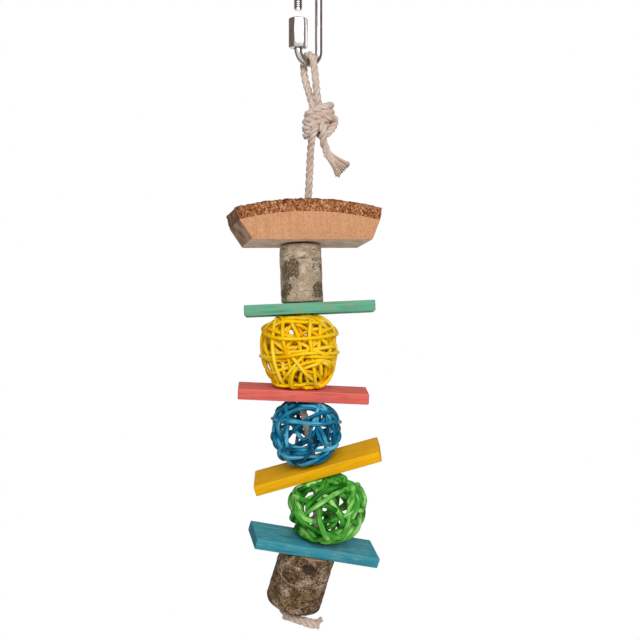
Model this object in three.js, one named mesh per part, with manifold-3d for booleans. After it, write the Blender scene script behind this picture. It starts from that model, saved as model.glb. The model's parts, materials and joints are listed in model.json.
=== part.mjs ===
// Hanging bird toy: a screw-gate quick link, a knotted natural rope, a slab with its bark on, two branch
// logs, four painted wooden slats and three balls wound from dyed rattan strands.
// Millimetres, +Z up. The origin is inside the quick link's top bend, where it hangs on a bar.
// The front, which looks along +Y, is the side that shows the slats broadside.
import * as THREE from 'three';
import { mergeVertices } from 'three/addons/utils/BufferGeometryUtils.js';
import Module from 'manifold-3d';

const wasm = await Module();
wasm.setup();

// Clearances
const SEAT_GAP = 0.3; // pieces that rest on each other, and bark against its wood
const ROPE_GAP = 0.4; // rope against the link's wire and inside its own knots
const BORE_CLEARANCE = 2.5; // room round the rope in every drilled hole
const NUT_CLEARANCE = 0.3; // nut bore over the thread's crests

// Quick link
const LINK_WIRE_D = 5;
const LINK_INNER_HEIGHT = 52;
const LINK_INNER_WIDTH = 11.4;
const LINK_YAW = 36; // degrees; the nut's side comes towards the front
const NUT_ACROSS_FLATS = 11;
const NUT_LENGTH = 19.5;
const NUT_CHAMFER = 1.2;
const NUT_OVERLAP = 1; // how far the nut stands past the end of the wire inside it
const GATE_GAP = 5.2; // open gate between the nut and the upper thread
const THREAD_D = 5.6;
const THREAD_PITCH = 1.3;
const THREAD_DEPTH = 0.5;
const THREAD_TURNS = 7;

// Rope and its knots
const ROPE_D = 5;
const LOOP_DROP = 25.9; // from the link's lower wire down to the knot's top
const LEG_BOW = 1.2; // sideways bow of the loop's two legs
const LEG_BOW_AT = 0.55; // its place down the legs, as a share of their height
const TOP_KNOT_AT = { x: 5.2, y: 0 };
const TOP_KNOT_TURNS = 3;
const BOTTOM_KNOT_TURNS = 1.25;
const KNOT_TURN_GAP = 0.6;
const FREE_ROPE = 39.5; // bare rope between the top knot and the slab
const BARE_ROPE_SHIFT = { x: -0.6, y: 0 }; // where it leaves the knot, from the leg above it
const BARE_ROPE_BEND = 0.35; // where it starts to lean over to the slab's hole, as a share of the way
const TOP_TAIL = [[0, 0, 0], [0, 0, -2.5], [4.4, -1.8, -11], [9.4, -2.6, -17.2], [15.2, -3, -22.8]];
const BOTTOM_TAIL = [[0, 0, 0], [4, 0, -0.66], [9, 0.4, -1.2], [15.5, 1, -1.6]];

// Slab: a trapezoid of wood under an arch of bark
const SLAB = { x: -0.6, y: -0.6, roll: -2.4, pitch: -5.4, yaw: 15 };
const SLAB_DEPTH = 35;
const SLAB_BOTTOM_LENGTH = 78.6;
const SLAB_BOTTOM_SHIFT = -0.4; // of its middle, along the slab from the rope hole
const SLAB_ARCH_SHIFT = -1.6;
const SLAB_WOOD_LENGTH = 92.4;
const SLAB_BARK_LENGTH = 97.4;
const SLAB_WOOD_END_HEIGHT = 12.6;
const SLAB_WOOD_MID_HEIGHT = 18.3;
const SLAB_BARK_THICKNESS = 8.8;

// Branch logs
const UPPER_LOG = { x: -4.7, y: -0.5, roll: -2, pitch: -3.2, yaw: 0 };
const UPPER_LOG_D = 27.3;
const UPPER_LOG_HEIGHT = 37.4;
const UPPER_BARK_THICKNESS = 1.8;
const UPPER_LOG_CHAMFER = 0.8;
const LOWER_LOG_SHIFT = { x: -2, y: 0 }; // off the slat above it
const LOWER_LOG_D = 36;
const LOWER_LOG_HEIGHT = 41.2;
const LOWER_BARK_THICKNESS = 2.5;
const LOWER_LOG_CHAMFER = 2.6;
const LOG_OVALNESS = 0.02;
const LOG_OVAL_TURN = 1; // radians; which way the long side of the oval points

// Painted slats, from the top down; hole is the rope hole's place along the slat from its middle
const SLAT_LENGTH = 84;
const SLAT_WIDTH = 26;
const SLAT_THICKNESS = 7;
const SLAT_EDGE = 0.5;
const SLATS = {
  green_slat: { x: 0.6, y: -1.5, roll: -2.5, pitch: -2.4, yaw: 1, hole: -5.5, colour: 0x6db193 },
  red_slat: { x: -3.4, y: -2, roll: 3, pitch: 7.3, yaw: 3.2, hole: -1.6, colour: 0xdf6a60 },
  yellow_slat: { x: 4.8, y: -2, roll: -17.4, pitch: 16.1, yaw: -4.6, hole: -2.2, colour: 0xedb203 },
  blue_slat: { x: 4.6, y: -1, roll: 16.8, pitch: 14.5, yaw: 17.2, hole: -0.8, colour: 0x2a93ae },
};

// Wound balls, from the top down: lean of the axis they turn on, outer radius, half height over the turning
// points, and the radius of the opening that the turning points leave for the rope at each pole
const BALLS = {
  yellow_ball: { x: -6, y: -2.5, roll: 0, radius: 24.6, half: 22.7, opening: 6, colour: 0xffc800 },
  blue_ball: { x: -1.6, y: -1.5, roll: -10, radius: 23.2, half: 18.4, opening: 6.5, colour: 0x1d86ae },
  green_ball: { x: 12.1, y: -2, roll: 0, radius: 25.2, half: 18, opening: 11.4, colour: 0x4dae3c },
};
// Each strand goes round the rope `leads` times and has `bights` turning points at each pole;
// `depth` is how far it stands out from, or dips below, the middle of the weave at a crossing
const WEAVES = {
  yellow_ball: { strand: 2, leads: 5, bights: 7, depth: 1.9 },
  blue_ball: { strand: 2.4, leads: 5, bights: 6, depth: 2.25 },
  green_ball: { strand: 2.8, leads: 5, bights: 6, depth: 2.3 },
};
// Where the rope goes through each ball, from the ball's axis
const ROPE_IN_BALL = { yellow_ball: [1, 0.8], blue_ball: [0.9, 0.4], green_ball: [-7, 1.2] };

// Colours
const STEEL = 0xb9b2b0;
const NUT_STEEL = 0xa8a2a0;
const ROPE_COLOUR = 0xd8c2ae;
const SLAB_WOOD_COLOUR = 0xd99f73;
const SLAB_BARK_COLOUR = 0x8a5a38;
const LOG_WOOD_COLOUR = 0xc9a67c;
const UPPER_BARK_COLOUR = 0xa89a86;
const LOWER_BARK_COLOUR = 0x7a6553;

// Facets
const WIRE_SIDES = 12;
const WIRE_STEPS = 44;
const NUT_END_SIDES = 24;
const ROPE_SIDES = 10;
const RUN_STEPS = 34;
const LOOP_STEPS = 46;
const ARCH_STEPS = 8;
const TAIL_STEPS = 7;
const ROUND_TOP_RINGS = 6;
const STRAND_SIDES = 6;
const STEPS_PER_CROSSING = 2;
const STEPS_PER_TURN = 24;
const SLAB_ARC_STEPS = 10;
const LOG_SIDES = 32;
const HOLE_SIDES = 20;

const DEGREE = Math.PI / 180;
const LEVEL = { roll: 0, pitch: 0, yaw: 0 };
const HOLE_R = ROPE_D / 2 + BORE_CLEARANCE;
const toy = new THREE.Group();

function addPiece(name, geometry, colour, roughness, metalness = 0, parent = toy) {
  const material = new THREE.MeshStandardMaterial({ color: colour, roughness, metalness });
  const mesh = new THREE.Mesh(geometry, material);
  mesh.name = name;
  parent.add(mesh);
  return mesh;
}

// Attitude of a piece: roll lowers its right end, pitch shows its top to the front and yaw turns it
// in its own plane.
function turnOf(lean) {
  return new THREE.Quaternion().setFromEuler(
    new THREE.Euler(lean.pitch * DEGREE, lean.roll * DEGREE, lean.yaw * DEGREE, 'YXZ'),
  );
}

function upOf(lean) {
  return new THREE.Vector3(0, 0, 1).applyQuaternion(turnOf(lean));
}

function placed(local, lean, origin) {
  return local.clone().applyQuaternion(turnOf(lean)).add(origin);
}

// Solids for cuts and joins
function toSolid(geometry) {
  const bare = geometry.clone();
  bare.deleteAttribute('normal');
  bare.deleteAttribute('uv');
  const merged = mergeVertices(bare, 1e-4);
  return new wasm.Manifold(new wasm.Mesh({
    numProp: 3,
    vertProperties: new Float32Array(merged.getAttribute('position').array),
    triVerts: new Uint32Array(merged.index.array),
  }));
}

function toGeometry(solid) {
  const mesh = solid.getMesh();
  const geometry = new THREE.BufferGeometry();
  geometry.setAttribute('position', new THREE.BufferAttribute(new Float32Array(mesh.vertProperties), 3));
  geometry.setIndex(new THREE.BufferAttribute(new Uint32Array(mesh.triVerts), 1));
  geometry.computeVertexNormals();
  return geometry;
}

function roundSection(diameter, sides) {
  const points = [];
  for (let i = 0; i < sides; i += 1) {
    const angle = (2 * Math.PI * i) / sides;
    points.push(new THREE.Vector2(Math.cos(angle), Math.sin(angle)).multiplyScalar(diameter / 2));
  }
  return new THREE.Shape(points);
}

function tubeAlong(curve, diameter, sides, steps) {
  const section = roundSection(diameter, sides);
  return new THREE.ExtrudeGeometry(section, { steps, extrudePath: curve, curveSegments: 1 });
}

function upright(geometry) {
  return geometry.rotateX(Math.PI / 2);
}

function drill(radius, length) {
  return toSolid(upright(new THREE.CylinderGeometry(radius, radius, length, HOLE_SIDES)));
}

// One unbroken tube through a list of points, with a ring at each point and flat ends.
function woundTube(points, diameter, sides) {
  const positions = [];
  const index = [];
  const last = points.length - 1;
  const normal = new THREE.Vector3();
  points.forEach((point, i) => {
    const tangent = points[Math.min(i + 1, last)].clone().sub(points[Math.max(i - 1, 0)]).normalize();
    if (i === 0) {
      normal.set(-tangent.y, tangent.x, 0);
    }
    normal.addScaledVector(tangent, -normal.dot(tangent)).normalize();
    const binormal = tangent.clone().cross(normal);
    for (let j = 0; j < sides; j += 1) {
      const angle = (2 * Math.PI * j) / sides;
      const corner = point.clone();
      corner.addScaledVector(normal, (Math.cos(angle) * diameter) / 2);
      corner.addScaledVector(binormal, (Math.sin(angle) * diameter) / 2);
      positions.push(corner.x, corner.y, corner.z);
    }
  });
  for (let i = 0; i < last; i += 1) {
    for (let j = 0; j < sides; j += 1) {
      const here = i * sides + j;
      const beside = i * sides + ((j + 1) % sides);
      index.push(here, beside, here + sides);
      index.push(beside, beside + sides, here + sides);
    }
  }
  const end = last * sides;
  for (let j = 1; j < sides - 1; j += 1) {
    index.push(0, j + 1, j);
    index.push(end, end + j, end + j + 1);
  }
  const geometry = new THREE.BufferGeometry();
  geometry.setAttribute('position', new THREE.Float32BufferAttribute(positions, 3));
  geometry.setIndex(index);
  geometry.computeVertexNormals();
  return geometry;
}

// Least gap of a wound tube to itself, measured on close points along its middle.
function leastGap(points, diameter) {
  const parts = 4;
  const apart = 3.5 * diameter;
  const fine = [];
  const along = [];
  let length = 0;
  for (let i = 0; i < points.length - 1; i += 1) {
    for (let k = 0; k < parts; k += 1) {
      fine.push(points[i].clone().lerp(points[i + 1], k / parts));
      along.push(length + (points[i].distanceTo(points[i + 1]) * k) / parts);
    }
    length += points[i].distanceTo(points[i + 1]);
  }
  let least = Infinity;
  for (let i = 0; i < fine.length; i += 1) {
    for (let j = i + 1; j < fine.length; j += 1) {
      if (along[j] - along[i] > apart) {
        least = Math.min(least, fine[i].distanceTo(fine[j]));
      }
    }
  }
  return least - diameter;
}

function addWinding(name, points, diameter, colour, roughness) {
  console.log(`${name}: least gap to itself ${leastGap(points, diameter).toFixed(2)} mm`);
  return addPiece(name, woundTube(points, diameter, STRAND_SIDES), colour, roughness);
}

// Quick link: an oval of wire, open on one side, with a long nut that screws up to close it
const linkHalf = (LINK_INNER_WIDTH + LINK_WIRE_D) / 2;
const linkTopBend = -LINK_INNER_WIDTH / 2;
const linkLowBend = -LINK_INNER_HEIGHT + LINK_INNER_WIDTH / 2;
const linkLowWire = -LINK_INNER_HEIGHT - LINK_WIRE_D / 2;
const nutBottom = linkLowBend + SEAT_GAP;
const nutTop = nutBottom + NUT_LENGTH;
const lowerEnd = nutTop - NUT_OVERLAP;
const upperEnd = nutTop + GATE_GAP;

// Middle of the wire, from the end inside the nut round to the upper thread
class LinkWire extends THREE.Curve {
  getPoint(t) {
    const bend = Math.PI * linkHalf;
    const straight = linkTopBend - linkLowBend;
    const lengths = [lowerEnd - linkLowBend, bend, straight, bend, linkTopBend - upperEnd];
    let s = t * lengths.reduce((sum, length) => sum + length, 0);
    let part = 0;
    while (part < lengths.length - 1 && s > lengths[part]) {
      s -= lengths[part];
      part += 1;
    }
    const swing = s / linkHalf;
    const places = [
      () => [-linkHalf, lowerEnd - s],
      () => [-linkHalf * Math.cos(swing), linkLowBend - linkHalf * Math.sin(swing)],
      () => [linkHalf, linkLowBend + s],
      () => [linkHalf * Math.cos(swing), linkTopBend + linkHalf * Math.sin(swing)],
      () => [-linkHalf, linkTopBend - s],
    ];
    const [x, z] = places[part]();
    return new THREE.Vector3(x, 0, z);
  }
}

function upperThread() {
  const crest = THREAD_D / 2;
  const root = crest - THREAD_DEPTH;
  const profile = [new THREE.Vector2(0, 0), new THREE.Vector2(root, 0)];
  for (let turn = 0; turn < THREAD_TURNS; turn += 1) {
    profile.push(new THREE.Vector2(crest, (turn + 0.5) * THREAD_PITCH));
    profile.push(new THREE.Vector2(root, (turn + 1) * THREAD_PITCH));
  }
  profile.push(new THREE.Vector2(0, THREAD_TURNS * THREAD_PITCH));
  const thread = upright(new THREE.LatheGeometry(profile, WIRE_SIDES));
  return thread.translate(-linkHalf, 0, upperEnd);
}

function hexNut() {
  const corner = NUT_ACROSS_FLATS / 2 / Math.cos(30 * DEGREE);
  const half = NUT_LENGTH / 2;
  const prism = toSolid(upright(new THREE.CylinderGeometry(corner, corner, NUT_LENGTH, 6)));
  const profile = [
    new THREE.Vector2(0, -half),
    new THREE.Vector2(NUT_ACROSS_FLATS / 2, -half),
    new THREE.Vector2(corner, -half + NUT_CHAMFER),
    new THREE.Vector2(corner, half - NUT_CHAMFER),
    new THREE.Vector2(NUT_ACROSS_FLATS / 2, half),
    new THREE.Vector2(0, half),
  ];
  const turnedEnds = toSolid(upright(new THREE.LatheGeometry(profile, NUT_END_SIDES)));
  const bore = drill(THREAD_D / 2 + NUT_CLEARANCE, 2 * NUT_LENGTH);
  return toGeometry(prism.intersect(turnedEnds).subtract(bore));
}

const link = new THREE.Group();
link.rotation.z = LINK_YAW * DEGREE;
toy.add(link);
const wire = toSolid(tubeAlong(new LinkWire(), LINK_WIRE_D, WIRE_SIDES, WIRE_STEPS));
addPiece('link_body', toGeometry(wire.add(toSolid(upperThread()))), STEEL, 0.25, 1, link);
const nut = addPiece('link_nut', hexNut(), NUT_STEEL, 0.3, 1, link);
nut.position.set(-linkHalf, 0, (nutBottom + nutTop) / 2);

// Heights down the rope
const knotPitch = ROPE_D + KNOT_TURN_GAP;
const topKnotTop = linkLowWire - LOOP_DROP;
const topKnotBottom = topKnotTop - TOP_KNOT_TURNS * knotPitch - ROPE_D;
const legSpread = ROPE_D + ROPE_GAP;
const leftLeg = new THREE.Vector3(TOP_KNOT_AT.x - legSpread / 2, TOP_KNOT_AT.y, topKnotBottom);
const rightLeg = new THREE.Vector3(TOP_KNOT_AT.x + legSpread / 2, TOP_KNOT_AT.y, topKnotBottom);
const swayPivot = leftLeg.clone();
swayPivot.add(new THREE.Vector3(BARE_ROPE_SHIFT.x, BARE_ROPE_SHIFT.y, -SEAT_GAP - ROPE_D / 2));
const slabHeight = SLAB_WOOD_MID_HEIGHT + SEAT_GAP + SLAB_BARK_THICKNESS;
const slabBottom = swayPivot.z - FREE_ROPE - slabHeight;

// Wound balls: the strand weaves over and under itself, and leaves a round way for the rope at each pole.
// Counted in crossings along the strand, a turning point falls on every multiple of the leads.
function sideOfWeave(crossing, leads) {
  if (crossing % leads === 0) {
    return 1;
  }
  return (crossing + Math.floor(crossing / leads)) % 2 === 0 ? 1 : -1;
}

function ballStrand(ball, weave) {
  const reach = weave.strand / 2 + weave.depth;
  const crossesAtEquator = weave.leads % 2 === 0;
  const side = ball.radius - (crossesAtEquator ? reach : weave.strand / 2);
  const turning = Math.acos((ball.opening + weave.strand / 2) / side);
  const pole = (ball.half - reach) / Math.sin(turning);
  const crossings = 2 * weave.leads * weave.bights;
  const points = [];
  for (let i = 0; i < crossings * STEPS_PER_CROSSING; i += 1) {
    const place = i / STEPS_PER_CROSSING;
    const before = Math.floor(place);
    const lift = THREE.MathUtils.lerp(
      sideOfWeave(before, weave.leads),
      sideOfWeave(before + 1, weave.leads),
      place - before,
    );
    const round = (place * Math.PI) / weave.bights;
    const latitude = Math.atan(Math.tan(turning) * Math.cos((round * weave.bights) / weave.leads));
    const out = new THREE.Vector2(Math.cos(latitude) / side, Math.sin(latitude) / pole).normalize();
    const distance = side * Math.cos(latitude) + lift * weave.depth * out.x;
    const height = pole * Math.sin(latitude) + lift * weave.depth * out.y;
    points.push(new THREE.Vector3(distance * Math.cos(round), distance * Math.sin(round), height));
  }
  return points;
}

const strands = {};
Object.keys(BALLS).forEach((name) => {
  strands[name] = ballStrand(BALLS[name], WEAVES[name]);
});

// Seats: a round piece is pushed up against the flat face above it, and the next flat face up against it
function seatUnder(face, up, at, reach) {
  const offset = up.x * (face.x - at.x) + up.y * (face.y - at.y) - reach - SEAT_GAP;
  return new THREE.Vector3(at.x, at.y, face.z + offset / up.z);
}

function seatFaceBelow(centre, reach, up, at) {
  const offset = up.x * (centre.x - at.x) + up.y * (centre.y - at.y) - reach - SEAT_GAP;
  return new THREE.Vector3(at.x, at.y, centre.z + offset / up.z);
}

function logReach(diameter, height, axis, up) {
  const tilt = Math.min(1, Math.abs(axis.dot(up)));
  return (height / 2) * tilt + (diameter / 2) * (1 + LOG_OVALNESS) * Math.sqrt(1 - tilt * tilt);
}

// A ball may turn on its own axis, so its reach is that of its strand swept right round
function ballLean(name) {
  return { ...LEVEL, roll: BALLS[name].roll };
}

function ballReach(name, up) {
  const along = Math.abs(up.dot(upOf(ballLean(name))));
  const slant = Math.sqrt(1 - along * along);
  const reaches = strands[name].map((point) => {
    const fromAxis = Math.hypot(point.x, point.y);
    return slant * fromAxis + along * Math.abs(point.z);
  });
  return Math.max(...reaches) + WEAVES[name].strand / 2;
}

const slabOrigin = new THREE.Vector3(SLAB.x, SLAB.y, slabBottom);
const upperLogReach = (up) => logReach(UPPER_LOG_D, UPPER_LOG_HEIGHT, upOf(UPPER_LOG), up);
const upperLogCentre = seatUnder(slabOrigin, upOf(SLAB), UPPER_LOG, upperLogReach(upOf(SLAB)));

const slatNames = Object.keys(SLATS);
const ballNames = Object.keys(BALLS);
const slatCentres = {};
const ballCentres = {};
let above = upperLogCentre;
let reachAbove = upperLogReach;
slatNames.forEach((name, i) => {
  const slat = SLATS[name];
  const up = upOf(slat);
  const half = up.clone().multiplyScalar(SLAT_THICKNESS / 2);
  const topFace = seatFaceBelow(above, reachAbove(up), up, slat);
  slatCentres[name] = topFace.clone().sub(half);
  const ballName = ballNames[i];
  if (ballName) {
    const bottomFace = slatCentres[name].clone().sub(half);
    above = seatUnder(bottomFace, up, BALLS[ballName], ballReach(ballName, up));
    reachAbove = (next) => ballReach(ballName, next);
    ballCentres[ballName] = above;
  }
});

// The lower log hangs square to the lowest slat, on the rope that comes through it
const lowestName = slatNames[slatNames.length - 1];
const lowerLogLean = { ...SLATS[lowestName], yaw: 0 };
const lowerLogDrop = SLAT_THICKNESS / 2 + SEAT_GAP + LOWER_LOG_HEIGHT / 2;
const lowerLogCentre = placed(
  new THREE.Vector3(LOWER_LOG_SHIFT.x, LOWER_LOG_SHIFT.y, -lowerLogDrop),
  lowerLogLean,
  slatCentres[lowestName],
);

// Slab
function slabOutlines() {
  const half = SLAB_WOOD_LENGTH / 2;
  const sag = SLAB_WOOD_MID_HEIGHT - SLAB_WOOD_END_HEIGHT;
  const radius = (half * half + sag * sag) / (2 * sag);
  const centre = SLAB_WOOD_MID_HEIGHT - radius;
  const spread = Math.asin(half / radius);
  const right = Math.PI / 2 - spread;
  const left = Math.PI / 2 + spread;
  const wood = new THREE.Shape();
  wood.moveTo(SLAB_BOTTOM_SHIFT - SLAB_BOTTOM_LENGTH / 2, 0);
  wood.lineTo(SLAB_BOTTOM_SHIFT + SLAB_BOTTOM_LENGTH / 2, 0);
  wood.absarc(SLAB_ARCH_SHIFT, centre, radius, right, left, false);
  const inner = radius + SEAT_GAP;
  const outer = inner + SLAB_BARK_THICKNESS;
  const outerSpread = Math.asin(SLAB_BARK_LENGTH / 2 / outer);
  const bark = new THREE.Shape();
  bark.absarc(SLAB_ARCH_SHIFT, centre, outer, Math.PI / 2 - outerSpread, Math.PI / 2 + outerSpread, false);
  bark.absarc(SLAB_ARCH_SHIFT, centre, inner, left, right, true);
  return { wood, bark };
}

function drilledSlabPart(outline) {
  const part = new THREE.ExtrudeGeometry(outline, {
    depth: SLAB_DEPTH,
    bevelEnabled: false,
    curveSegments: SLAB_ARC_STEPS,
  });
  upright(part).translate(0, SLAB_DEPTH / 2, 0);
  return toGeometry(toSolid(part).subtract(drill(HOLE_R, 4 * slabHeight)));
}

function addSlab() {
  const { wood, bark } = slabOutlines();
  const slab = new THREE.Group();
  slab.position.copy(slabOrigin);
  slab.quaternion.copy(turnOf(SLAB));
  toy.add(slab);
  addPiece('slab_wood', drilledSlabPart(wood), SLAB_WOOD_COLOUR, 0.8, 0, slab);
  addPiece('slab_bark', drilledSlabPart(bark), SLAB_BARK_COLOUR, 0.95, 0, slab);
}
addSlab();

// A ring of wood or bark, slightly oval, with its rope hole kept round
function logRing(innerRadius, outerRadius, height, chamfer) {
  const half = height / 2;
  const profile = [
    new THREE.Vector2(innerRadius, -half),
    new THREE.Vector2(outerRadius - chamfer, -half),
    new THREE.Vector2(outerRadius, -half + chamfer),
    new THREE.Vector2(outerRadius, half - chamfer),
    new THREE.Vector2(outerRadius - chamfer, half),
    new THREE.Vector2(innerRadius, half),
    new THREE.Vector2(innerRadius, -half),
  ];
  const ring = upright(new THREE.LatheGeometry(profile, LOG_SIDES));
  const position = ring.getAttribute('position');
  for (let i = 0; i < position.count; i += 1) {
    const angle = Math.atan2(position.getY(i), position.getX(i));
    const distance = Math.hypot(position.getX(i), position.getY(i));
    const bulge = LOG_OVALNESS * Math.cos(2 * angle + LOG_OVAL_TURN);
    const oval = distance > HOLE_R + SEAT_GAP ? 1 + bulge : 1;
    position.setXY(i, position.getX(i) * oval, position.getY(i) * oval);
  }
  return ring;
}

function addLog(name, centre, lean, size) {
  const log = new THREE.Group();
  log.position.copy(centre);
  log.quaternion.copy(turnOf(lean));
  toy.add(log);
  const barkInside = size.diameter / 2 - size.bark;
  const wood = logRing(HOLE_R, barkInside - SEAT_GAP, size.height, 0);
  const chamfer = Math.min(size.chamfer, 0.8 * size.bark);
  const bark = logRing(barkInside, size.diameter / 2, size.height, chamfer);
  addPiece(`${name}_wood`, wood, LOG_WOOD_COLOUR, 0.85, 0, log);
  addPiece(`${name}_bark`, bark, size.colour, 0.95, 0, log);
}
addLog('upper_log', upperLogCentre, UPPER_LOG, {
  diameter: UPPER_LOG_D,
  height: UPPER_LOG_HEIGHT,
  bark: UPPER_BARK_THICKNESS,
  chamfer: UPPER_LOG_CHAMFER,
  colour: UPPER_BARK_COLOUR,
});
addLog('lower_log', lowerLogCentre, lowerLogLean, {
  diameter: LOWER_LOG_D,
  height: LOWER_LOG_HEIGHT,
  bark: LOWER_BARK_THICKNESS,
  chamfer: LOWER_LOG_CHAMFER,
  colour: LOWER_BARK_COLOUR,
});

// Slats
function slatGeometry(hole) {
  const x = SLAT_LENGTH / 2 - SLAT_EDGE;
  const y = SLAT_WIDTH / 2 - SLAT_EDGE;
  const outline = new THREE.Shape();
  outline.moveTo(-x, -y);
  outline.lineTo(x, -y);
  outline.lineTo(x, y);
  outline.lineTo(-x, y);
  outline.closePath();
  const ropeHole = roundSection(2 * (HOLE_R + SLAT_EDGE), HOLE_SIDES).getPoints();
  outline.holes.push(new THREE.Path(ropeHole.map((point) => point.setX(point.x + hole))));
  const slat = new THREE.ExtrudeGeometry(outline, {
    depth: SLAT_THICKNESS - 2 * SLAT_EDGE,
    bevelThickness: SLAT_EDGE,
    bevelSize: SLAT_EDGE,
    bevelSegments: 1,
  });
  return slat.translate(0, 0, SLAT_EDGE - SLAT_THICKNESS / 2);
}

slatNames.forEach((name) => {
  const slat = addPiece(name, slatGeometry(SLATS[name].hole), SLATS[name].colour, 0.55);
  slat.position.copy(slatCentres[name]);
  slat.quaternion.copy(turnOf(SLATS[name]));
});

// Rope from the top knot down through the middle of every piece
const ropeEnd = ROPE_D + BOTTOM_KNOT_TURNS * knotPitch + SEAT_GAP;
const lowerLogHalf = LOWER_LOG_HEIGHT / 2;
function alongLowerLog(z) {
  return placed(new THREE.Vector3(0, 0, z), lowerLogLean, lowerLogCentre);
}

const ropeStops = [swayPivot.clone()];
ropeStops.push(swayPivot.clone().lerp(slabOrigin, BARE_ROPE_BEND));
ropeStops.push(placed(new THREE.Vector3(0, 0, slabHeight / 2), SLAB, slabOrigin));
ropeStops.push(upperLogCentre.clone());
slatNames.forEach((name, i) => {
  ropeStops.push(placed(new THREE.Vector3(SLATS[name].hole, 0, 0), SLATS[name], slatCentres[name]));
  const ballName = ballNames[i];
  if (ballName) {
    const [x, y] = ROPE_IN_BALL[ballName];
    ropeStops.push(ballCentres[ballName].clone().add(new THREE.Vector3(x, y, 0)));
  }
});
ropeStops.push(alongLowerLog(lowerLogHalf / 2));
ropeStops.push(alongLowerLog(-lowerLogHalf));
ropeStops.push(alongLowerLog(-lowerLogHalf - ropeEnd));
const ropeRoute = new THREE.CatmullRomCurve3(ropeStops);

const runTube = toSolid(tubeAlong(ropeRoute, ROPE_D, ROPE_SIDES, RUN_STEPS));
const roundTop = new THREE.SphereGeometry(ROPE_D / 2, ROPE_SIDES, ROUND_TOP_RINGS);
roundTop.translate(...swayPivot.toArray());
addPiece('rope_run', toGeometry(runTube.add(toSolid(roundTop))), ROPE_COLOUR, 0.95);

// The loop over the link's lower wire, whose two legs go down through the knot
function loopRoute() {
  const radius = LINK_WIRE_D / 2 + ROPE_GAP + ROPE_D / 2;
  const front = new THREE.Vector3(Math.sin(LINK_YAW * DEGREE), -Math.cos(LINK_YAW * DEGREE), 0);
  const arch = [];
  for (let i = 0; i <= ARCH_STEPS; i += 1) {
    const angle = Math.PI * (1 - i / ARCH_STEPS);
    const point = new THREE.Vector3(0, 0, linkLowWire + radius * Math.sin(angle));
    arch.push(point.addScaledVector(front, radius * Math.cos(angle)));
  }
  const bow = new THREE.Vector3(-LEG_BOW, 0, 0);
  const leftTop = leftLeg.clone().setZ(topKnotTop);
  const rightTop = rightLeg.clone().setZ(topKnotTop);
  const leftMiddle = arch[0].clone().lerp(leftTop, LEG_BOW_AT).add(bow);
  const rightMiddle = arch[ARCH_STEPS].clone().lerp(rightTop, LEG_BOW_AT).add(bow);
  const left = [leftLeg, leftTop, leftMiddle];
  const right = [rightMiddle, rightTop, rightLeg];
  return new THREE.CatmullRomCurve3([...left, ...arch, ...right]);
}
addPiece('rope_loop', tubeAlong(loopRoute(), ROPE_D, ROPE_SIDES, LOOP_STEPS), ROPE_COLOUR, 0.95);

function tailAlong(steps, lean, start) {
  const points = steps.map(([x, y, z]) => placed(new THREE.Vector3(x, y, z), lean, start));
  return tubeAlong(new THREE.CatmullRomCurve3(points), ROPE_D, ROPE_SIDES, TAIL_STEPS);
}
const topTailStart = rightLeg.clone().add(new THREE.Vector3(0, 0, -SEAT_GAP));
addPiece('top_tail', tailAlong(TOP_TAIL, LEVEL, topTailStart), ROPE_COLOUR, 0.95);

// Knots: turns of rope round the legs of the loop, and round the rope's lower end
function knotTurns(radius, turns, hand, lastAngle) {
  const points = [];
  const count = Math.round(turns * STEPS_PER_TURN);
  for (let i = 0; i <= count; i += 1) {
    const turn = (turns * i) / count;
    const angle = lastAngle + hand * (turn - turns) * 2 * Math.PI;
    const z = -ROPE_D / 2 - turn * knotPitch;
    points.push(new THREE.Vector3(radius * Math.cos(angle), radius * Math.sin(angle), z));
  }
  return points;
}

const topKnotOrigin = new THREE.Vector3(TOP_KNOT_AT.x, TOP_KNOT_AT.y, topKnotTop);
const topKnotRadius = legSpread / 2 + ROPE_D + ROPE_GAP;
const topTurns = knotTurns(topKnotRadius, TOP_KNOT_TURNS, -1, Math.PI / 2);
addWinding('top_knot', topTurns.map((point) => point.add(topKnotOrigin)), ROPE_D, ROPE_COLOUR, 0.95);

// The lower knot's last turn runs straight out at the front, where its tail begins
const bottomKnotTop = new THREE.Vector3(0, 0, -lowerLogHalf - SEAT_GAP);
const bottomKnotRadius = ROPE_D + ROPE_GAP;
const bottomTurns = knotTurns(bottomKnotRadius, BOTTOM_KNOT_TURNS, 1, -Math.PI / 2);
const runOut = new THREE.Vector3(1, 0, -knotPitch / (2 * Math.PI * bottomKnotRadius)).normalize();
bottomTurns.push(bottomTurns[bottomTurns.length - 1].clone().addScaledVector(runOut, ROPE_D));
const bottomKnot = bottomTurns.map((point) => {
  return placed(point.add(bottomKnotTop), lowerLogLean, lowerLogCentre);
});
addWinding('bottom_knot', bottomKnot, ROPE_D, ROPE_COLOUR, 0.95);
const bottomTailStart = bottomKnot[bottomKnot.length - 1].clone();
bottomTailStart.addScaledVector(placed(runOut, lowerLogLean, new THREE.Vector3()), SEAT_GAP);
addPiece('bottom_tail', tailAlong(BOTTOM_TAIL, lowerLogLean, bottomTailStart), ROPE_COLOUR, 0.95);

// Balls
ballNames.forEach((name) => {
  const ball = addWinding(name, strands[name], WEAVES[name].strand, BALLS[name].colour, 0.6);
  ball.position.copy(ballCentres[name]);
  ball.quaternion.copy(turnOf(ballLean(name)));
});

export default toy;
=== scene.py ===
"""A hanging bird toy: quick link, knotted rope, bark slab, branch logs, stained slats and rattan balls."""
import functools
import json
import math

import bmesh
import bpy
import numpy as np
from mathutils import Matrix, Vector


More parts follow.
